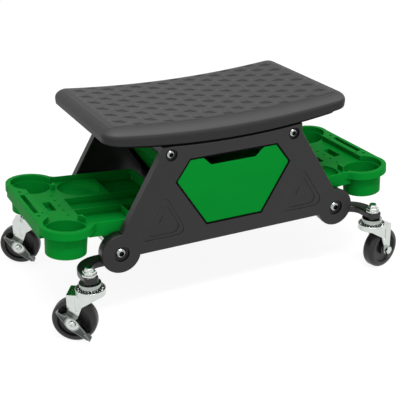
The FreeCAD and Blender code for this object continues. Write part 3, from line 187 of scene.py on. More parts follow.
class SeatTrimSizes(bpy.types.PropertyGroup):
    """Sizes of the black lips that are painted shade in the windows' gaps, and of the domed stem nuts."""
    window_foot: length("Window foot", 0.0523, "Half width of a window at its foot")
    window_waist: length("Window waist", 0.1064, "Half width of a window at its widest")
    window_head: length("Window head", 0.0807, "Half width of a window at its top")
    waist_high: length("Waist height", 0.0829, "Height of a window's waist over the drawer's foot")
    window_gap: length("Window gap", 0.0016, "Gap between the drawer and a window's foot and top")
    rear_lip_in: length("Rear lip reach", 0.0085, "How far the rear lip reaches into its window")
    rear_lip_deep: length("Rear lip place", 0.010, "Distance of the rear lip from its panel's inner face")
    rear_lip_thick: length("Rear lip thickness", 0.002, "Thickness of the rear lip")
    front_lip_out: length("Front lip root", 0.0017, "How far the front lip reaches out past its window")
    front_lip_in: length("Front lip reach", 0.0011, "How far the front lip reaches into its window")
    front_lip_deep: length("Front lip place", 0.0006, "Distance of the front lip from its panel's face")
    front_lip_thick: length("Front lip thickness", 0.0012, "Thickness of the front lip")
    nut_radius: length("Nut radius", 0.0109, "Radius of a stem nut's hexagon over its corners")
    nut_edge: length("Nut edge", 0.0007, "Width of a stem nut's rounded edges")
    dome_radius: length("Dome radius", 0.0084, "Radius of a stem nut's dome at its foot")
    dome_taper: share("Dome taper", 0.76, "Width of a dome's top as a share of its foot")


class SeatColours(bpy.types.PropertyGroup):
    """Colours of the seat's materials."""
    # the sides' darker colour is painted shade
    pad: colour("Pad sides", "#303030", "Smooth foam skin")
    field: colour("Pad field", "#3D3D3D", "Embossed foam skin")
    panel: colour("Panels", "#242424", "Grained black plastic")
    green: colour("Green", "#088A2E", "Drawer and trays")
    arm: colour("Arms", "#141414", "Powder coat")
    zinc: colour("Zinc", "#D3D8D4", "Bright zinc plate")
    sheet: colour("Polished zinc", "#A9AFAB", "Swivel cups and panel bolts")
    # colour of the painted shade in the bolts' hex sockets
    socket_shade: colour("Bolt sockets", "#141414", "Grease and shade in the bolts' hex sockets")
    wheel: colour("Wheels", "#191919", "Hard black rubber")
    dark: colour("Dark steel", "#1B1B1B", "Blackened steel inside")
    # colour of the painted dark reflection on the brake levers' treads
    tread: colour("Lever treads", "#4A4E4C", "Scuffed steel of the brake levers")
    # the lips and the board are near black as painted shade in the gaps round the drawer and under the pad
    lip: colour("Lips and board", "#060606", "Rubber lips of the windows and the board under the pad")


class SeatStage(bpy.types.PropertyGroup):
    """The view and the studio round the seat."""
    azimuth: angle("Azimuth", -25.798, "Camera's turn about the seat")
    elevation: angle("Elevation", 23.267, "Camera's height angle")
    roll: angle("Roll", -0.59, "Camera's tilt")
    distance: length("Distance", 1.6949, "Camera to target")
    lens: FloatProperty(name="Lens", description="Focal length on a 36 mm sensor, in mm", default=83.53,
                        unit="CAMERA")
    target: FloatVectorProperty(name="Target", description="Point the camera looks at", size=3,
                                subtype="XYZ", unit="LENGTH", default=(0.00009, 0.0, 0.1325))
    key: watts("Key light", 6, "Strength of the high front light")
    fill: watts("Fill light", 3, "Strength of the left light")
    strip: watts("Strip light", 27, "Strength of the strip in front")
    sky: share("Sky", 0.42, "Strength of the even studio light")
    paper: share("Paper", 0.88, "Whiteness that the floor shows by itself")
    floor_lit: colour("Floor as a reflector", "#E6E6E6", "Floor's colour in the light that it throws back")
    floor_seen: colour("Floor as seen", "#8A8A8A", "Floor's own colour where the camera sees it")


def add_node(tree, kind, links=(), **settings):
    """Add a node, set its own settings and its inputs' values, and link its inputs."""
    node = tree.nodes.new(kind)
    for key, value in settings.items():
        if hasattr(node, key):
            setattr(node, key, value)
        else:
            node.inputs[key.replace("_", " ")].default_value = value
    for name, socket in dict(links).items():
        tree.links.new(socket, node.inputs[name])
    return node


def new_material(name):
    """A material with a bare shader and its output."""
    material = bpy.data.materials.new(name)
    material.use_nodes = True
    tree = material.node_tree
    tree.nodes.clear()
    shader = add_node(tree, "ShaderNodeBsdfPrincipled")
    add_node(tree, "ShaderNodeOutputMaterial", {"Surface": shader.outputs[0]})
    return material, tree, shader


def finished(material):
    """A finished material's node tree, its shader and the socket that colours it."""
    tree = material.node_tree
    shader = tree.nodes["Principled BSDF"]
    return tree, shader, shader.inputs["Base Color"].links[0].from_socket


def dimmed(base, part):
    """A colour made darker, or paler where the part is over 1."""
    return [c * part for c in base]


def blend(tree, factor, first, second, **settings):
    """A mix of two colours, each of them a socket or a plain colour."""
    node = add_node(tree, "ShaderNodeMix", {"Factor": factor}, data_type="RGBA", **settings)
    for number, value in ((MIX_FIRST, first), (MIX_SECOND, second)):
        if isinstance(value, bpy.types.NodeSocket):
            tree.links.new(value, node.inputs[number])
        else:
            node.inputs[number].default_value = (*value, 1)
    return node.outputs[MIX_RESULT]


def own_place(tree):
    """A point's place in the coordinates of its own object."""
    return add_node(tree, "ShaderNodeTexCoord").outputs["Object"]


def noise(tree, size, detail, **settings):
    """Noise with features of a size in metres."""
    node = add_node(tree, "ShaderNodeTexNoise", {"Vector": own_place(tree)}, Scale=1 / size, Detail=detail,
                    **settings)
    return node.outputs["Fac"]


def map_range(tree, value, **ends):
    """A value mapped from one range to another, where a range that isn't given runs from 0 to 1."""
    return add_node(tree, "ShaderNodeMapRange", {"Value": value}, **ends).outputs[0]


def openness(tree, reach, **settings):
    """How open a spot is within a reach, from 0 in a tight corner to 1 in the open."""
    node = add_node(tree, "ShaderNodeAmbientOcclusion", samples=AO_SAMPLES, Distance=reach, **settings)
    return node.outputs["AO"]


def outer_edge(tree, reach):
    """How far a spot is from an outer edge, from 0 at a sharp one to 1 on a flat face."""
    return openness(tree, reach, inside=True, only_local=True)


def vector_math(tree, operation, vector, other=(0, 0, 0)):
    """The outputs of a vector operation on a socket and a plain vector."""
    node = add_node(tree, "ShaderNodeVectorMath", {0: vector}, operation=operation)
    node.inputs[1].default_value = other
    return node.outputs


def grained(name, base, shade, grain_mm, bump_mm, roughness, specular=0.4, corner_shade=0.45, edge_highlight=1.2):
    """A moulded or coated surface: slow colour drift, painted shade in its inner corners, painted highlights
    on its outer edges, and a fine grain that breaks up its gloss.
    """
    material, tree, shader = new_material(name)
    tint = blend(tree, noise(tree, DRIFT_SIZE, detail=3), dimmed(base, 1 - shade), dimmed(base, 1 + shade))
    # painted shade darkens the inner corners, and a painted highlight makes the outer edges paler
    unshaded = map_range(tree, openness(tree, CORNER_SHADE_REACH), From_Min=DARKEST_AT, From_Max=UNDARKENED_AT)
    corner_shaded = blend(tree, unshaded, dimmed(base, 1 - corner_shade), tint)
    pale = [min(c, 1) for c in dimmed(base, 1 + edge_highlight)]
    highlit_edges = blend(tree, outer_edge(tree, EDGE_HIGHLIGHT_REACH), pale, corner_shaded)
    tree.links.new(highlit_edges, shader.inputs["Base Color"])
    grain = noise(tree, grain_mm * MM, detail=4, Roughness=GRAIN_BREAK)
    gloss = map_range(tree, grain, To_Min=roughness + GRAIN_GLOSS[0], To_Max=roughness + GRAIN_GLOSS[1])
    tree.links.new(gloss, shader.inputs["Roughness"])
    bump = add_node(tree, "ShaderNodeBump", {"Height": grain}, Distance=bump_mm * MM, Strength=GRAIN_STRENGTH)
    tree.links.new(bump.outputs[0], shader.inputs["Normal"])
    shader.inputs["Specular IOR Level"].default_value = specular
    return material


def plated(name, base, roughness):
    """Bright zinc on pressed steel: a clear metal with faint blotches and drawing marks."""
    material, tree, shader = new_material(name)
    shader.inputs["Metallic"].default_value = 1
    blotch = noise(tree, BLOTCH_SIZE, detail=5)
    tree.links.new(blend(tree, blotch, dimmed(base, BLOTCH_SHADE), base), shader.inputs["Base Color"])
    gloss = map_range(tree, blotch, To_Min=roughness + BLOTCH_GLOSS[0], To_Max=roughness + BLOTCH_GLOSS[1])
    tree.links.new(gloss, shader.inputs["Roughness"])
    bump = add_node(tree, "ShaderNodeBump", {"Height": noise(tree, MARK_SIZE, detail=2)}, Distance=MARK_DEEP,
                    Strength=MARK_STRENGTH)
    tree.links.new(bump.outputs[0], shader.inputs["Normal"])
    return material


def socketed(node, material, socket_shade):
    """Darken the hex sockets of a set of bolts with painted shade."""
    low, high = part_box(node)
    head = (high.z - low.z) / 2
    tree, shader, base = finished(material)
    at = add_node(tree, "ShaderNodeSeparateXYZ", {0: own_place(tree)})
    # the bolts of the two ends are folded on each other, and the distance across the seat is left out
    mirrored = add_node(tree, "ShaderNodeMath", {0: at.outputs["X"]}, operation="ABSOLUTE")
    turned = add_node(tree, "ShaderNodeCombineXYZ", {"X": mirrored.outputs[0], "Z": at.outputs["Z"]})
    middle = (high.x - head, 0, (low.z + high.z) / 2)
    off = vector_math(tree, "DISTANCE", turned.outputs[0], middle)["Value"]
    unshaded = map_range(tree, off, From_Min=SOCKET_INNER * head, From_Max=SOCKET_OUTER * head)
    # painted shade fills each hex socket
    tree.links.new(blend(tree, unshaded, socket_shade, base), shader.inputs["Base Color"])
    return material


def lever_with_painted_light(corner, bright, dark):
    """A brake lever: bright round its pivot, with a painted highlight along its rims and a painted dark
    reflection on its treads.
    """
    material = plated(f"lever_zinc_painted_reflection_{corner}", bright, roughness=0.14)
    tree, shader, base = finished(material)
    joint = next(row for row in frame["record"]["behaviour"]["joints"] if row["name"] == f"{corner}_brake")
    arm = vector_math(tree, "SUBTRACT", own_place(tree), joint["pos_m"])["Vector"]
    across = vector_math(tree, "CROSS_PRODUCT", arm, joint["axis"])["Vector"]
    reach = vector_math(tree, "LENGTH", across)["Value"]
    tread_reflection = map_range(tree, reach, From_Min=TREAD_BEGINS, From_Max=TREAD_FULL)
    # painted dark reflection on the treads and a painted highlight along the rims
    tint = blend(tree, tread_reflection, base, dark)
    rim = blend(tree, outer_edge(tree, LEVER_RIM), bright, tint)
    tree.links.new(rim, shader.inputs["Base Color"])
    return material


def dress(names, material):
    """Give CAD nodes a material."""
    for name in names:
        node = frame["nodes"][name]
        node.data.materials.clear()
        node.data.materials.append(material)


def select_only(piece):
    """Make one object the only selected and active one."""
    bpy.ops.object.select_all(action="DESELECT")
    piece.select_set(True)
    bpy.context.view_layer.objects.active = piece


def pick_edges(piece, wanted):
    """Select the edges of the piece in edit mode that pass a test."""
    bpy.ops.mesh.select_mode(type="EDGE")
    bpy.ops.mesh.select_all(action="DESELECT")
    mesh = bmesh.from_edit_mesh(piece.data)
    for edge in mesh.edges:
        edge.select = wanted(*(v.co for v in edge.verts))
    mesh.select_flush_mode()
    bmesh.update_edit_mesh(piece.data)


def apply_modifiers(piece):
    """Apply every modifier of the piece in order."""
    select_only(piece)
    for modifier in list(piece.modifiers):
        bpy.ops.object.modifier_apply(modifier=modifier.name)


def smoothstep(low, high, value):
    """An eased step from 0 to 1."""
    t = min(max((value - low) / (high - low), 0), 1)
    return t * t * (3 - 2 * t)


def emboss(sizes, x, y):
    """How far a point of the top lies in a pressed lens, and on a raised bar, from 0 to 1."""
    lens, bar = 0.0, 0.0
    cos, sin = math.cos(sizes.lens_turn), math.sin(sizes.lens_turn)
    # the lenses stand in two sets, half a pitch apart
    for shift in (0.0, 0.5):
        u = ((x / sizes.pitch_x + shift) % 1 - 0.5) * sizes.pitch_x
        v = ((y / sizes.pitch_y + shift) % 1 - 0.5) * sizes.pitch_y
        along, across = abs(u * cos + v * sin), abs(v * cos - u * sin)
        lens = max(lens, 1 - 2 * along / sizes.lens_long - (2 * across / sizes.lens_wide) ** LENS_POINT)
        # a bar stands across the line from one lens to the next
        u = ((x / sizes.pitch_x + shift + BAR_SHIFT_X) % 1 - 0.5) * sizes.pitch_x
        v = ((y / sizes.pitch_y + shift + BAR_SHIFT_Y) % 1 - 0.5) * sizes.pitch_y
        along, across = abs(v * cos - u * sin), abs(u * cos + v * sin)
        bar = max(bar, 1 - (2 * along / sizes.bar_long) ** 2 - 2 * across / sizes.bar_wide)
    return smoothstep(0, LENS_EASE, lens), smoothstep(0, BAR_EASE, bar)


def inside(x, y, half_x, half_y, corner):
    """How far a point lies inside the pad's rounded outline."""
    over_x, over_y = abs(x) - (half_x - corner), abs(y) - (half_y - corner)
    return corner - math.hypot(max(over_x, 0), max(over_y, 0)) - min(max(over_x, over_y), 0)


def line(room):
    """The rounded section of a crease or bead, by the distance from its middle."""
    return math.exp(-(room / LINE_WIDE) ** 2)


class MECHANICSEAT_OT_cushion(bpy.types.Operator):
    """Model the dished pad with its rounded edges and embossed top"""
    bl_idname = "mechanic_seat.cushion"
    bl_label = "Seat pad"

    def execute(self, context):
        sizes = context.scene.seat_pad_sizes
        low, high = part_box("seat_pad")
        middle_low, middle_high = low.z + sizes.lift, high.z - sizes.dish_top
        bpy.ops.object.select_all(action="DESELECT")
        bpy.ops.mesh.primitive_cube_add(size=1, location=(0, 0, 0))
        piece = context.active_object
        piece.name = "moulded_pad"
        tall = middle_high - middle_low
        piece.scale = (high.x - low.x, high.y - low.y, tall)
        bpy.ops.object.transform_apply(location=True, rotation=True, scale=True)
        bpy.ops.object.mode_set(mode="EDIT")
        pick_edges(piece, lambda a, b: abs(a.z - b.z) > tall / 2)
        bpy.ops.mesh.bevel(offset=sizes.corner, segments=10, affect="EDGES")
        pick_edges(piece, lambda a, b: min(a.z, b.z) > tall / 2 - MM)
        bpy.ops.mesh.bevel(offset=sizes.crown, segments=8, affect="EDGES")
        pick_edges(piece, lambda a, b: max(a.z, b.z) < -tall / 2 + MM)
        bpy.ops.mesh.bevel(offset=sizes.foot, segments=3, affect="EDGES")
        bpy.ops.object.mode_set(mode="OBJECT")
        grid = piece.modifiers.new("grid", "REMESH")
        grid.mode = "VOXEL"
        grid.voxel_size = sizes.voxel
        ease = piece.modifiers.new("ease", "SMOOTH")
        ease.factor = 0.5
        ease.iterations = 2
        apply_modifiers(piece)
        self.shape(piece, sizes, low, high, middle_low, middle_high)
        bpy.ops.object.shade_smooth()
        piece.data.materials.append(pad_skin(context))
        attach(piece, "frame")
        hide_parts("seat_pad")
        return {"FINISHED"}

    def shape(self, piece, sizes, low, high, middle_low, middle_high):
        """Draw the sides in, press the pattern, bend the pad to its dish and mark where its skin gets painted
        shade and painted highlights.
        """
        half_x, half_y = (high.x - low.x) / 2, (high.y - low.y) / 2
        tall = middle_high - middle_low
        piece.data.attributes.new("pressed", "FLOAT", "POINT")
        piece.data.attributes.new("rolled", "FLOAT", "POINT")
        pressed, rolled = (piece.data.attributes[name].data for name in ("pressed", "rolled"))
        # the normals are worked out anew after each move, so all are copied first
        normals = [vertex.normal.copy() for vertex in piece.data.vertices]
        for number, vertex in enumerate(piece.data.vertices):
            x, y, z = vertex.co
            slope = normals[number].z
            rolled[number].value = smoothstep(SIDE_BEGINS, SIDE_FULL, slope)
            height = min(max(z / tall + 0.5, 0), 1)
            inward = sizes.draw_in * smoothstep(DRAWN_SHARE, 0, height)
            x -= math.copysign(inward, x) * smoothstep(DRAW_BEGINS, DRAW_FULL, abs(x) / half_x)
            y -= math.copysign(inward, y) * smoothstep(DRAW_BEGINS, DRAW_FULL, abs(y) / half_y)
            depth = 0.0
            if height > TOP_SHARE:
                room = inside(x, y, half_x, half_y, sizes.corner)
                inner = smoothstep(0, FIELD_EASE, room - sizes.margin)
                lens, bar = emboss(sizes, x, y)
                crease, bead = line(room - sizes.crease_in), line(room - sizes.crease_in + BEAD_OUT)
                depth = crease * sizes.crease_deep - bead * sizes.bead_high
                depth += inner * (lens * sizes.lens_deep - bar * sizes.bar_high)
                # a painted highlight on the rounded long edges, where the top turns down
                painted_highlight = smoothstep(HIGHLIGHT_BEGINS, HIGHLIGHT_FULL, slope) * smoothstep(HIGHLIGHT_ENDS, HIGHLIGHT_FADES, slope)
                painted_highlight *= abs(normals[number].y)
                # painted shade in the lenses and the crease, and painted highlights on the bars, the bead and
                # the long edges
                marks = inner * (lens - bar) + LINE_SHADE * (crease - bead)
                pressed[number].value = marks - HIGHLIGHT_PALING * painted_highlight
            bottom = middle_low + sizes.dish_bottom * (x / half_x) ** 2
            top = middle_high + sizes.dish_top * (x / half_x) ** 2
            vertex.co = (x, y, bottom + height * (top - bottom) - depth)


def pad_skin(context):
    """Integral-skin foam: a soft sheen, with painted shade on its sides, lenses and crease, and painted
    highlights on its long edges, bars and bead.
    """
    colours = context.scene.seat_colours
    skin = grained("integral_skin_foam", colours.field, shade=0.06, grain_mm=1.6, bump_mm=0.15,
                   roughness=0.42, specular=0.09)
    tree, shader, base = finished(skin)
    # painted shade darkens the pressed lenses and the crease, and painted highlights make the raised bars,
    # the bead and the long edges paler
    mask = add_node(tree, "ShaderNodeAttribute", attribute_name="pressed").outputs["Fac"]
    darker = blend(tree, mask, base, dimmed(colours.field, LENS_SHADE), clamp_factor=False)
    # painted shade darkens the sides
    turn = add_node(tree, "ShaderNodeAttribute", attribute_name="rolled").outputs["Fac"]
    tree.links.new(blend(tree, turn, darker, colours.pad), shader.inputs["Base Color"])
    return skin


class MECHANICSEAT_OT_panels(bpy.types.Operator):
    """Finish the side panels and the board under the pad"""
    bl_idname = "mechanic_seat.panels"
    bl_label = "Side panels"

    def execute(self, context):
        colours = context.scene.seat_colours
        # strong painted shade in the recesses and bright painted highlights along the edges
        plastic = grained("grained_black_polypropylene", colours.panel, shade=0.06, grain_mm=0.9,
                          bump_mm=0.12, roughness=0.42, specular=0.3, corner_shade=0.85, edge_highlight=5)
        dress(["front_side_panel", "rear_side_panel"], plastic)
        # the board is near black as painted shade in the gap under the pad
        board = grained("black_board_painted_shade", colours.lip, shade=0.1, grain_mm=0.6, bump_mm=0.1,
                        roughness=0.7, specular=0.1)
        dress(["seat_pan"], board)
        return {"FINISHED"}


class MECHANICSEAT_OT_drawer(bpy.types.Operator):
    """Finish the drawer"""
    bl_idname = "mechanic_seat.drawer"
    bl_label = "Drawer"

    def execute(self, context):
        dress(["drawer"], green_plastic(context))
        return {"FINISHED"}


def offset_loop(corners, out):
    """Corners of a closed outline, moved outwards by a distance."""
    moved = []
    for number, corner in enumerate(corners):
        before, after = corners[number - 1], corners[(number + 1) % len(corners)]
        run, leave = (corner - before).normalized(), (after - corner).normalized()
        normal = Vector((run.y, -run.x))
        mitre = (normal + Vector((leave.y, -leave.x))).normalized()
        moved.append(corner + mitre * (out / mitre.dot(normal)))
    return moved


class MECHANICSEAT_OT_shade_lips(bpy.types.Operator):
    """Model the black lips round the drawer in the front and rear windows, as painted shade in the gaps there
    """
    bl_idname = "mechanic_seat.window_seals"
    bl_label = "Window seals"

    def execute(self, context):
        sizes = context.scene.seat_trim_sizes
        # the lips are near black as painted shade in the windows' gaps
        rubber = grained("black_lip_painted_shade", context.scene.seat_colours.lip, shade=0.08, grain_mm=1.0,
                         bump_mm=0.1, roughness=0.6, specular=0.05)
        low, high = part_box("drawer")
        half = [Vector((sizes.window_foot, low.z - sizes.window_gap)),
                Vector((sizes.window_waist, low.z + sizes.waist_high)),
                Vector((sizes.window_head, high.z + sizes.window_gap))]
        window = half + [Vector((-corner.x, corner.y)) for corner in reversed(half)]
        rear_inner_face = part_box("rear_side_panel")[0].y
        front_outer_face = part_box("front_side_panel")[0].y
        rear_loops = [window, offset_loop(window, -sizes.rear_lip_in)]
        self.lip("rear_shade_lip", rear_loops, rear_inner_face + sizes.rear_lip_deep, sizes.rear_lip_thick,
                 rubber)
        front_loops = [offset_loop(window, sizes.front_lip_out), offset_loop(window, -sizes.front_lip_in)]
        self.lip("front_shade_lip", front_loops, front_outer_face + sizes.front_lip_deep,
                 sizes.front_lip_thick, rubber)
        return {"FINISHED"}

    def lip(self, name, loops, place, thick, rubber):
        """One closed black lip of painted shade between an outer and an inner outline, standing across the
        seat.
        """
        outer, inner = loops
        # two rings of the right count are bridged, and then each point is put in its place
        bpy.ops.object.select_all(action="DESELECT")
        bpy.ops.mesh.primitive_circle_add(vertices=len(outer), radius=1)
        piece = bpy.context.active_object
        piece.name = name
        bpy.ops.object.mode_set(mode="EDIT")
        bpy.ops.mesh.primitive_circle_add(vertices=len(inner), radius=0.5)
        bpy.ops.mesh.select_all(action="SELECT")
        bpy.ops.mesh.bridge_edge_loops()
        bpy.ops.object.mode_set(mode="OBJECT")
        for vertex, corner in zip(piece.data.vertices, outer + inner):
            vertex.co = (corner.x, place, corner.y)
        wall = piece.modifiers.new("wall", "SOLIDIFY")
        wall.thickness = thick
        wall.offset = 0
        edge = piece.modifiers.new("edge", "BEVEL")
        edge.width = thick * LIP_EDGE
        edge.segments = 2
        apply_modifiers(piece)
        bpy.ops.object.mode_set(mode="EDIT")
        bpy.ops.mesh.select_all(action="SELECT")
        bpy.ops.mesh.normals_make_consistent(inside=False)
        bpy.ops.object.mode_set(mode="OBJECT")
        piece.data.materials.append(rubber)
        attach(piece, "frame")


def green_plastic(context):
    """Green polypropylene as it leaves a polished mould: even colour and soft gloss, with painted shade in
    its corners and painted highlights along its edges.
    """
    found = bpy.data.materials.get("green_polypropylene")
    if found:
        return found
    return grained("green_polypropylene", context.scene.seat_colours.green, shade=0.05, grain_mm=1.4,
                   bump_mm=0.06, roughness=0.4, specular=0.015, corner_shade=0.3, edge_highlight=0.5)


class MECHANICSEAT_OT_trays(bpy.types.Operator):
    """Finish the organiser trays"""
    bl_idname = "mechanic_seat.trays"
    bl_label = "Trays"

    def execute(self, context):
        dress(["left_tray", "right_tray"], green_plastic(context))
        return {"FINISHED"}


class MECHANICSEAT_OT_arms(bpy.types.Operator):
    """Finish the caster arms and the steel between the panels"""
    bl_idname = "mechanic_seat.arms"
    bl_label = "Arms and inner steel"

    def execute(self, context):
        colours = context.scene.seat_colours
        coat = grained("black_powder_coat", colours.arm, shade=0.05, grain_mm=0.8, bump_mm=0.05,
                       roughness=0.3, specular=0.45)
        dress([f"{corner}_arm" for corner in CORNERS], coat)
        dark = grained("blackened_steel", colours.dark, shade=0.08, grain_mm=1.1, bump_mm=0.05, roughness=0.5)
        inner = ["left_upper_tube", "right_upper_tube", "left_drawer_guide", "right_drawer_guide",
                 "seat_screws", "guide_screws", "tray_screws", "bracket_screws"]
        inner += [f"{corner}_tray_bracket" for corner in CORNERS]
        dress(inner, dark)
        return {"FINISHED"}


class MECHANICSEAT_OT_casters(bpy.types.Operator):
    """Finish the casters, their fasteners and the panel bolts"""
    bl_idname = "mechanic_seat.casters"
    bl_label = "Casters and bolts"

    def execute(self, context):
        colours = context.scene.seat_colours
        zinc = plated("bright_zinc_steel", colours.zinc, roughness=0.17)
        for node in ("upper_bolts", "lower_bolts"):
            steel = plated(f"bright_zinc_{node}", colours.sheet, roughness=0.16)
            dress([node], socketed(node, steel, colours.socket_shade))
        names = ["left_lower_shaft", "right_lower_shaft", "stem_washers", "stem_nuts"]
        for corner in CORNERS:
            names += [f"{corner}_{piece}" for piece in ("race_balls", "fork", "wheel_bush", "axle")]
        dress(names, zinc)
        # the swivel cups are drawn from a darker sheet and keep a mirror polish
        sheet = plated("polished_zinc_steel", colours.sheet, roughness=0.11)
        dress([f"{corner}_stem" for corner in CORNERS], sheet)
        for corner in BRAKED:
            dress([f"{corner}_brake_lever"], lever_with_painted_light(corner, colours.zinc, colours.tread))
        rubber = grained("hard_black_rubber", colours.wheel, shade=0.08, grain_mm=1.0, bump_mm=0.06,
                         roughness=0.36)
        dress([f"{corner}_wheel" for corner in CORNERS], rubber)
        return {"FINISHED"}


class MECHANICSEAT_OT_nuts(bpy.types.Operator):
    """Model the domed nuts on the caster stems"""
    bl_idname = "mechanic_seat.nuts"
    bl_label = "Stem nuts"

    def execute(self, context):
        sizes = context.scene.seat_trim_sizes
        low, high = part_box("stem_nuts")
        tall = high.z - low.z
        first = self.model(context, sizes, tall)
        nuts = [first]
        while len(nuts) < len(CORNERS):
            twin = first.copy()
            twin.data = first.data.copy()
            context.scene.collection.objects.link(twin)
            nuts.append(twin)
        for nut, corner in zip(nuts, CORNERS):
            stem_low, stem_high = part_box(f"{corner}_stem")
            middle = (stem_low + stem_high) / 2
            nut.location = (middle.x, middle.y, low.z)
            nut.select_set(True)
        bpy.ops.object.transform_apply(location=True, rotation=True, scale=True)
        bpy.ops.object.join()
        first.name = "domed_nuts"
        first.data.materials.append(bpy.data.materials["bright_zinc_steel"])
        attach(first, "frame")
        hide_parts("stem_nuts")
        return {"FINISHED"}

    def model(self, context, sizes, tall):
        """One nut that stands on the origin: a hexagon under a tapered dome, with rounded edges."""
        bpy.ops.object.select_all(action="DESELECT")
        bpy.ops.mesh.primitive_cylinder_add(vertices=6, radius=sizes.nut_radius, depth=tall * NUT_HEX,
                                            location=(0, 0, tall * NUT_HEX / 2))
        nut = context.active_object
        bpy.ops.object.transform_apply(location=True, rotation=True, scale=True)
        bpy.ops.object.mode_set(mode="EDIT")
        bpy.ops.mesh.primitive_cylinder_add(vertices=32, radius=sizes.dome_radius,
                                            depth=tall * (1 - DOME_FOOT),
                                            location=(0, 0, tall * (1 + DOME_FOOT) / 2))
        pick_edges(nut, lambda a, b: min(a.z, b.z) > tall * DOME_RIM)
        bpy.ops.transform.resize(value=(sizes.dome_taper, sizes.dome_taper, 1))
        bpy.ops.object.mode_set(mode="OBJECT")
        edge = nut.modifiers.new("edge", "BEVEL")
        edge.width = sizes.nut_edge
        edge.segments = 3
        apply_modifiers(nut)
        bpy.ops.object.shade_smooth_by_angle(angle=NUT_SMOOTH)
        return nut


def seen_rays(tree):
    """A socket that is 1 for what the camera sees, straight or in a reflection or through glass."""
    ray = add_node(tree, "ShaderNodeLightPath")
    glossy, through = ray.outputs["Is Glossy Ray"], ray.outputs["Is Transmission Ray"]
    mirrored = add_node(tree, "ShaderNodeMath", {0: glossy, 1: through}, operation="MAXIMUM")
    seen = add_node(tree, "ShaderNodeMath", {0: ray.outputs["Is Camera Ray"], 1: mirrored.outputs[0]},
                    operation="MAXIMUM")
    return seen.outputs[0]


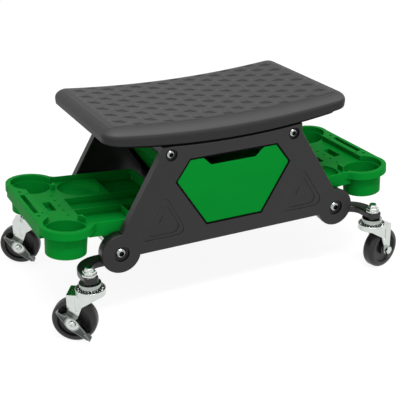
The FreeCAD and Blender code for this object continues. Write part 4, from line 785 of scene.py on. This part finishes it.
class MECHANICSEAT_OT_stage(bpy.types.Operator):
    """Set the camera, the floor and the studio light"""
    bl_idname = "mechanic_seat.stage"
    bl_label = "Stage"

    def execute(self, context):
        stage = context.scene.seat_stage
        self.camera(context, stage)
        self.floor(stage)
        self.lights(context, stage)
        context.scene.view_settings.view_transform = "Standard"
        return {"FINISHED"}

    def camera(self, context, stage):
        """A camera at the photographed angle."""
        turn, rise = stage.azimuth, stage.elevation
        back = Vector((math.sin(turn) * math.cos(rise), -math.cos(turn) * math.cos(rise), math.sin(rise)))
        right = Vector((math.cos(turn), math.sin(turn), 0))
        up = back.cross(right)
        side = math.cos(stage.roll) * right + math.sin(stage.roll) * up
        upward = back.cross(side)
        place = Vector(stage.target) + back * stage.distance
        data = bpy.data.cameras.new("seat_camera")
        data.sensor_width = SENSOR_MM
        data.lens = stage.lens
        camera = bpy.data.objects.new("seat_camera", data)
        context.scene.collection.objects.link(camera)
        turned = Matrix((side, upward, back)).transposed().to_4x4()
        camera.matrix_world = Matrix.Translation(place) @ turned
        context.scene.camera = camera

    def floor(self, stage):
        """A pale floor that shows white to the camera and keeps the seat's shadow."""
        bpy.ops.object.select_all(action="DESELECT")
        bpy.ops.mesh.primitive_plane_add(size=FLOOR_WIDE, location=(0, 0, 0))
        floor = bpy.context.active_object
        floor.name = "studio_floor"
        material = bpy.data.materials.new("white_paper")
        material.use_nodes = True
        tree = material.node_tree
        tree.nodes.clear()
        paper = add_node(tree, "ShaderNodeBsdfDiffuse", Color=(*stage.floor_lit, 1))
        dim = add_node(tree, "ShaderNodeBsdfDiffuse", Color=(*stage.floor_seen, 1))
        glow = add_node(tree, "ShaderNodeEmission", Color=(1, 1, 1, 1), Strength=stage.paper)
        white = add_node(tree, "ShaderNodeAddShader", {0: dim.outputs[0], 1: glow.outputs[0]})
        shown = add_node(tree, "ShaderNodeMixShader",
                         {0: seen_rays(tree), 1: paper.outputs[0], 2: white.outputs[0]})
        add_node(tree, "ShaderNodeOutputMaterial", {"Surface": shown.outputs[0]})
        floor.data.materials.append(material)

    def lights(self, context, stage):
        """A wide light high in front, a strip before it, a weak light from the left and an even sky."""
        # name, strength, width and depth, place
        lamps = (
            ("key_light", stage.key, (2.0, 2.0), (0.1, -1.9, 2.1)),
            ("strip_light", stage.strip, (1.5, 0.25), (-0.2, -1.1, 1.95)),
            ("fill_light", stage.fill, (1.6, 1.6), (-2.0, -0.6, 1.2)),
        )
        for name, power, size, place in lamps:
            data = bpy.data.lights.new(name, "AREA")
            data.shape = "RECTANGLE"
            data.energy = power
            data.size, data.size_y = size
            lamp = bpy.data.objects.new(name, data)
            lamp.location = place
            lamp.rotation_euler = (LIGHTS_AIM - Vector(place)).to_track_quat("-Z", "Y").to_euler()
            context.scene.collection.objects.link(lamp)
        world = bpy.data.worlds.new("studio")
        world.use_nodes = True
        tree = world.node_tree
        tree.nodes.clear()
        level = map_range(tree, seen_rays(tree), To_Min=stage.sky, To_Max=1.0)
        sky = add_node(tree, "ShaderNodeBackground", {"Strength": level}, Color=(1, 1, 1, 1))
        add_node(tree, "ShaderNodeOutputWorld", {"Surface": sky.outputs[0]})
        context.scene.world = world


class MECHANICSEAT_PT_panel(bpy.types.Panel):
    """Lists the seat's pieces"""
    bl_idname = "MECHANICSEAT_PT_panel"
    bl_label = "Mechanic seat"
    bl_space_type = "VIEW_3D"
    bl_region_type = "UI"
    bl_category = "Mechanic Seat"

    def draw(self, context):
        for operator in OPERATORS:
            self.layout.operator(operator.bl_idname)
        for name, group in GROUPS.items():
            for key in group.__annotations__:
                self.layout.prop(getattr(context.scene, name), key)


OPERATORS = (
    MECHANICSEAT_OT_cushion,
    MECHANICSEAT_OT_panels,
    MECHANICSEAT_OT_drawer,
    MECHANICSEAT_OT_shade_lips,
    MECHANICSEAT_OT_trays,
    MECHANICSEAT_OT_arms,
    MECHANICSEAT_OT_casters,
    MECHANICSEAT_OT_nuts,
    MECHANICSEAT_OT_stage,
)
GROUPS = {
    "seat_pad_sizes": SeatPadSizes,
    "seat_trim_sizes": SeatTrimSizes,
    "seat_colours": SeatColours,
    "seat_stage": SeatStage,
}


def register():
    for name, group in GROUPS.items():
        bpy.utils.register_class(group)
        setattr(bpy.types.Scene, name, PointerProperty(type=group))
    for operator in OPERATORS:
        bpy.utils.register_class(operator)
    bpy.utils.register_class(MECHANICSEAT_PT_panel)


def unregister():
    bpy.utils.unregister_class(MECHANICSEAT_PT_panel)
    for operator in reversed(OPERATORS):
        bpy.utils.unregister_class(operator)
    for name, group in GROUPS.items():
        delattr(bpy.types.Scene, name)
        bpy.utils.unregister_class(group)


def main():
    register()
    bpy.ops.mechanic_seat.cushion()
    bpy.ops.mechanic_seat.panels()
    bpy.ops.mechanic_seat.drawer()
    bpy.ops.mechanic_seat.window_seals()
    bpy.ops.mechanic_seat.trays()
    bpy.ops.mechanic_seat.arms()
    bpy.ops.mechanic_seat.casters()
    bpy.ops.mechanic_seat.nuts()
    bpy.ops.mechanic_seat.stage()


if __name__ == "__main__":
    main()
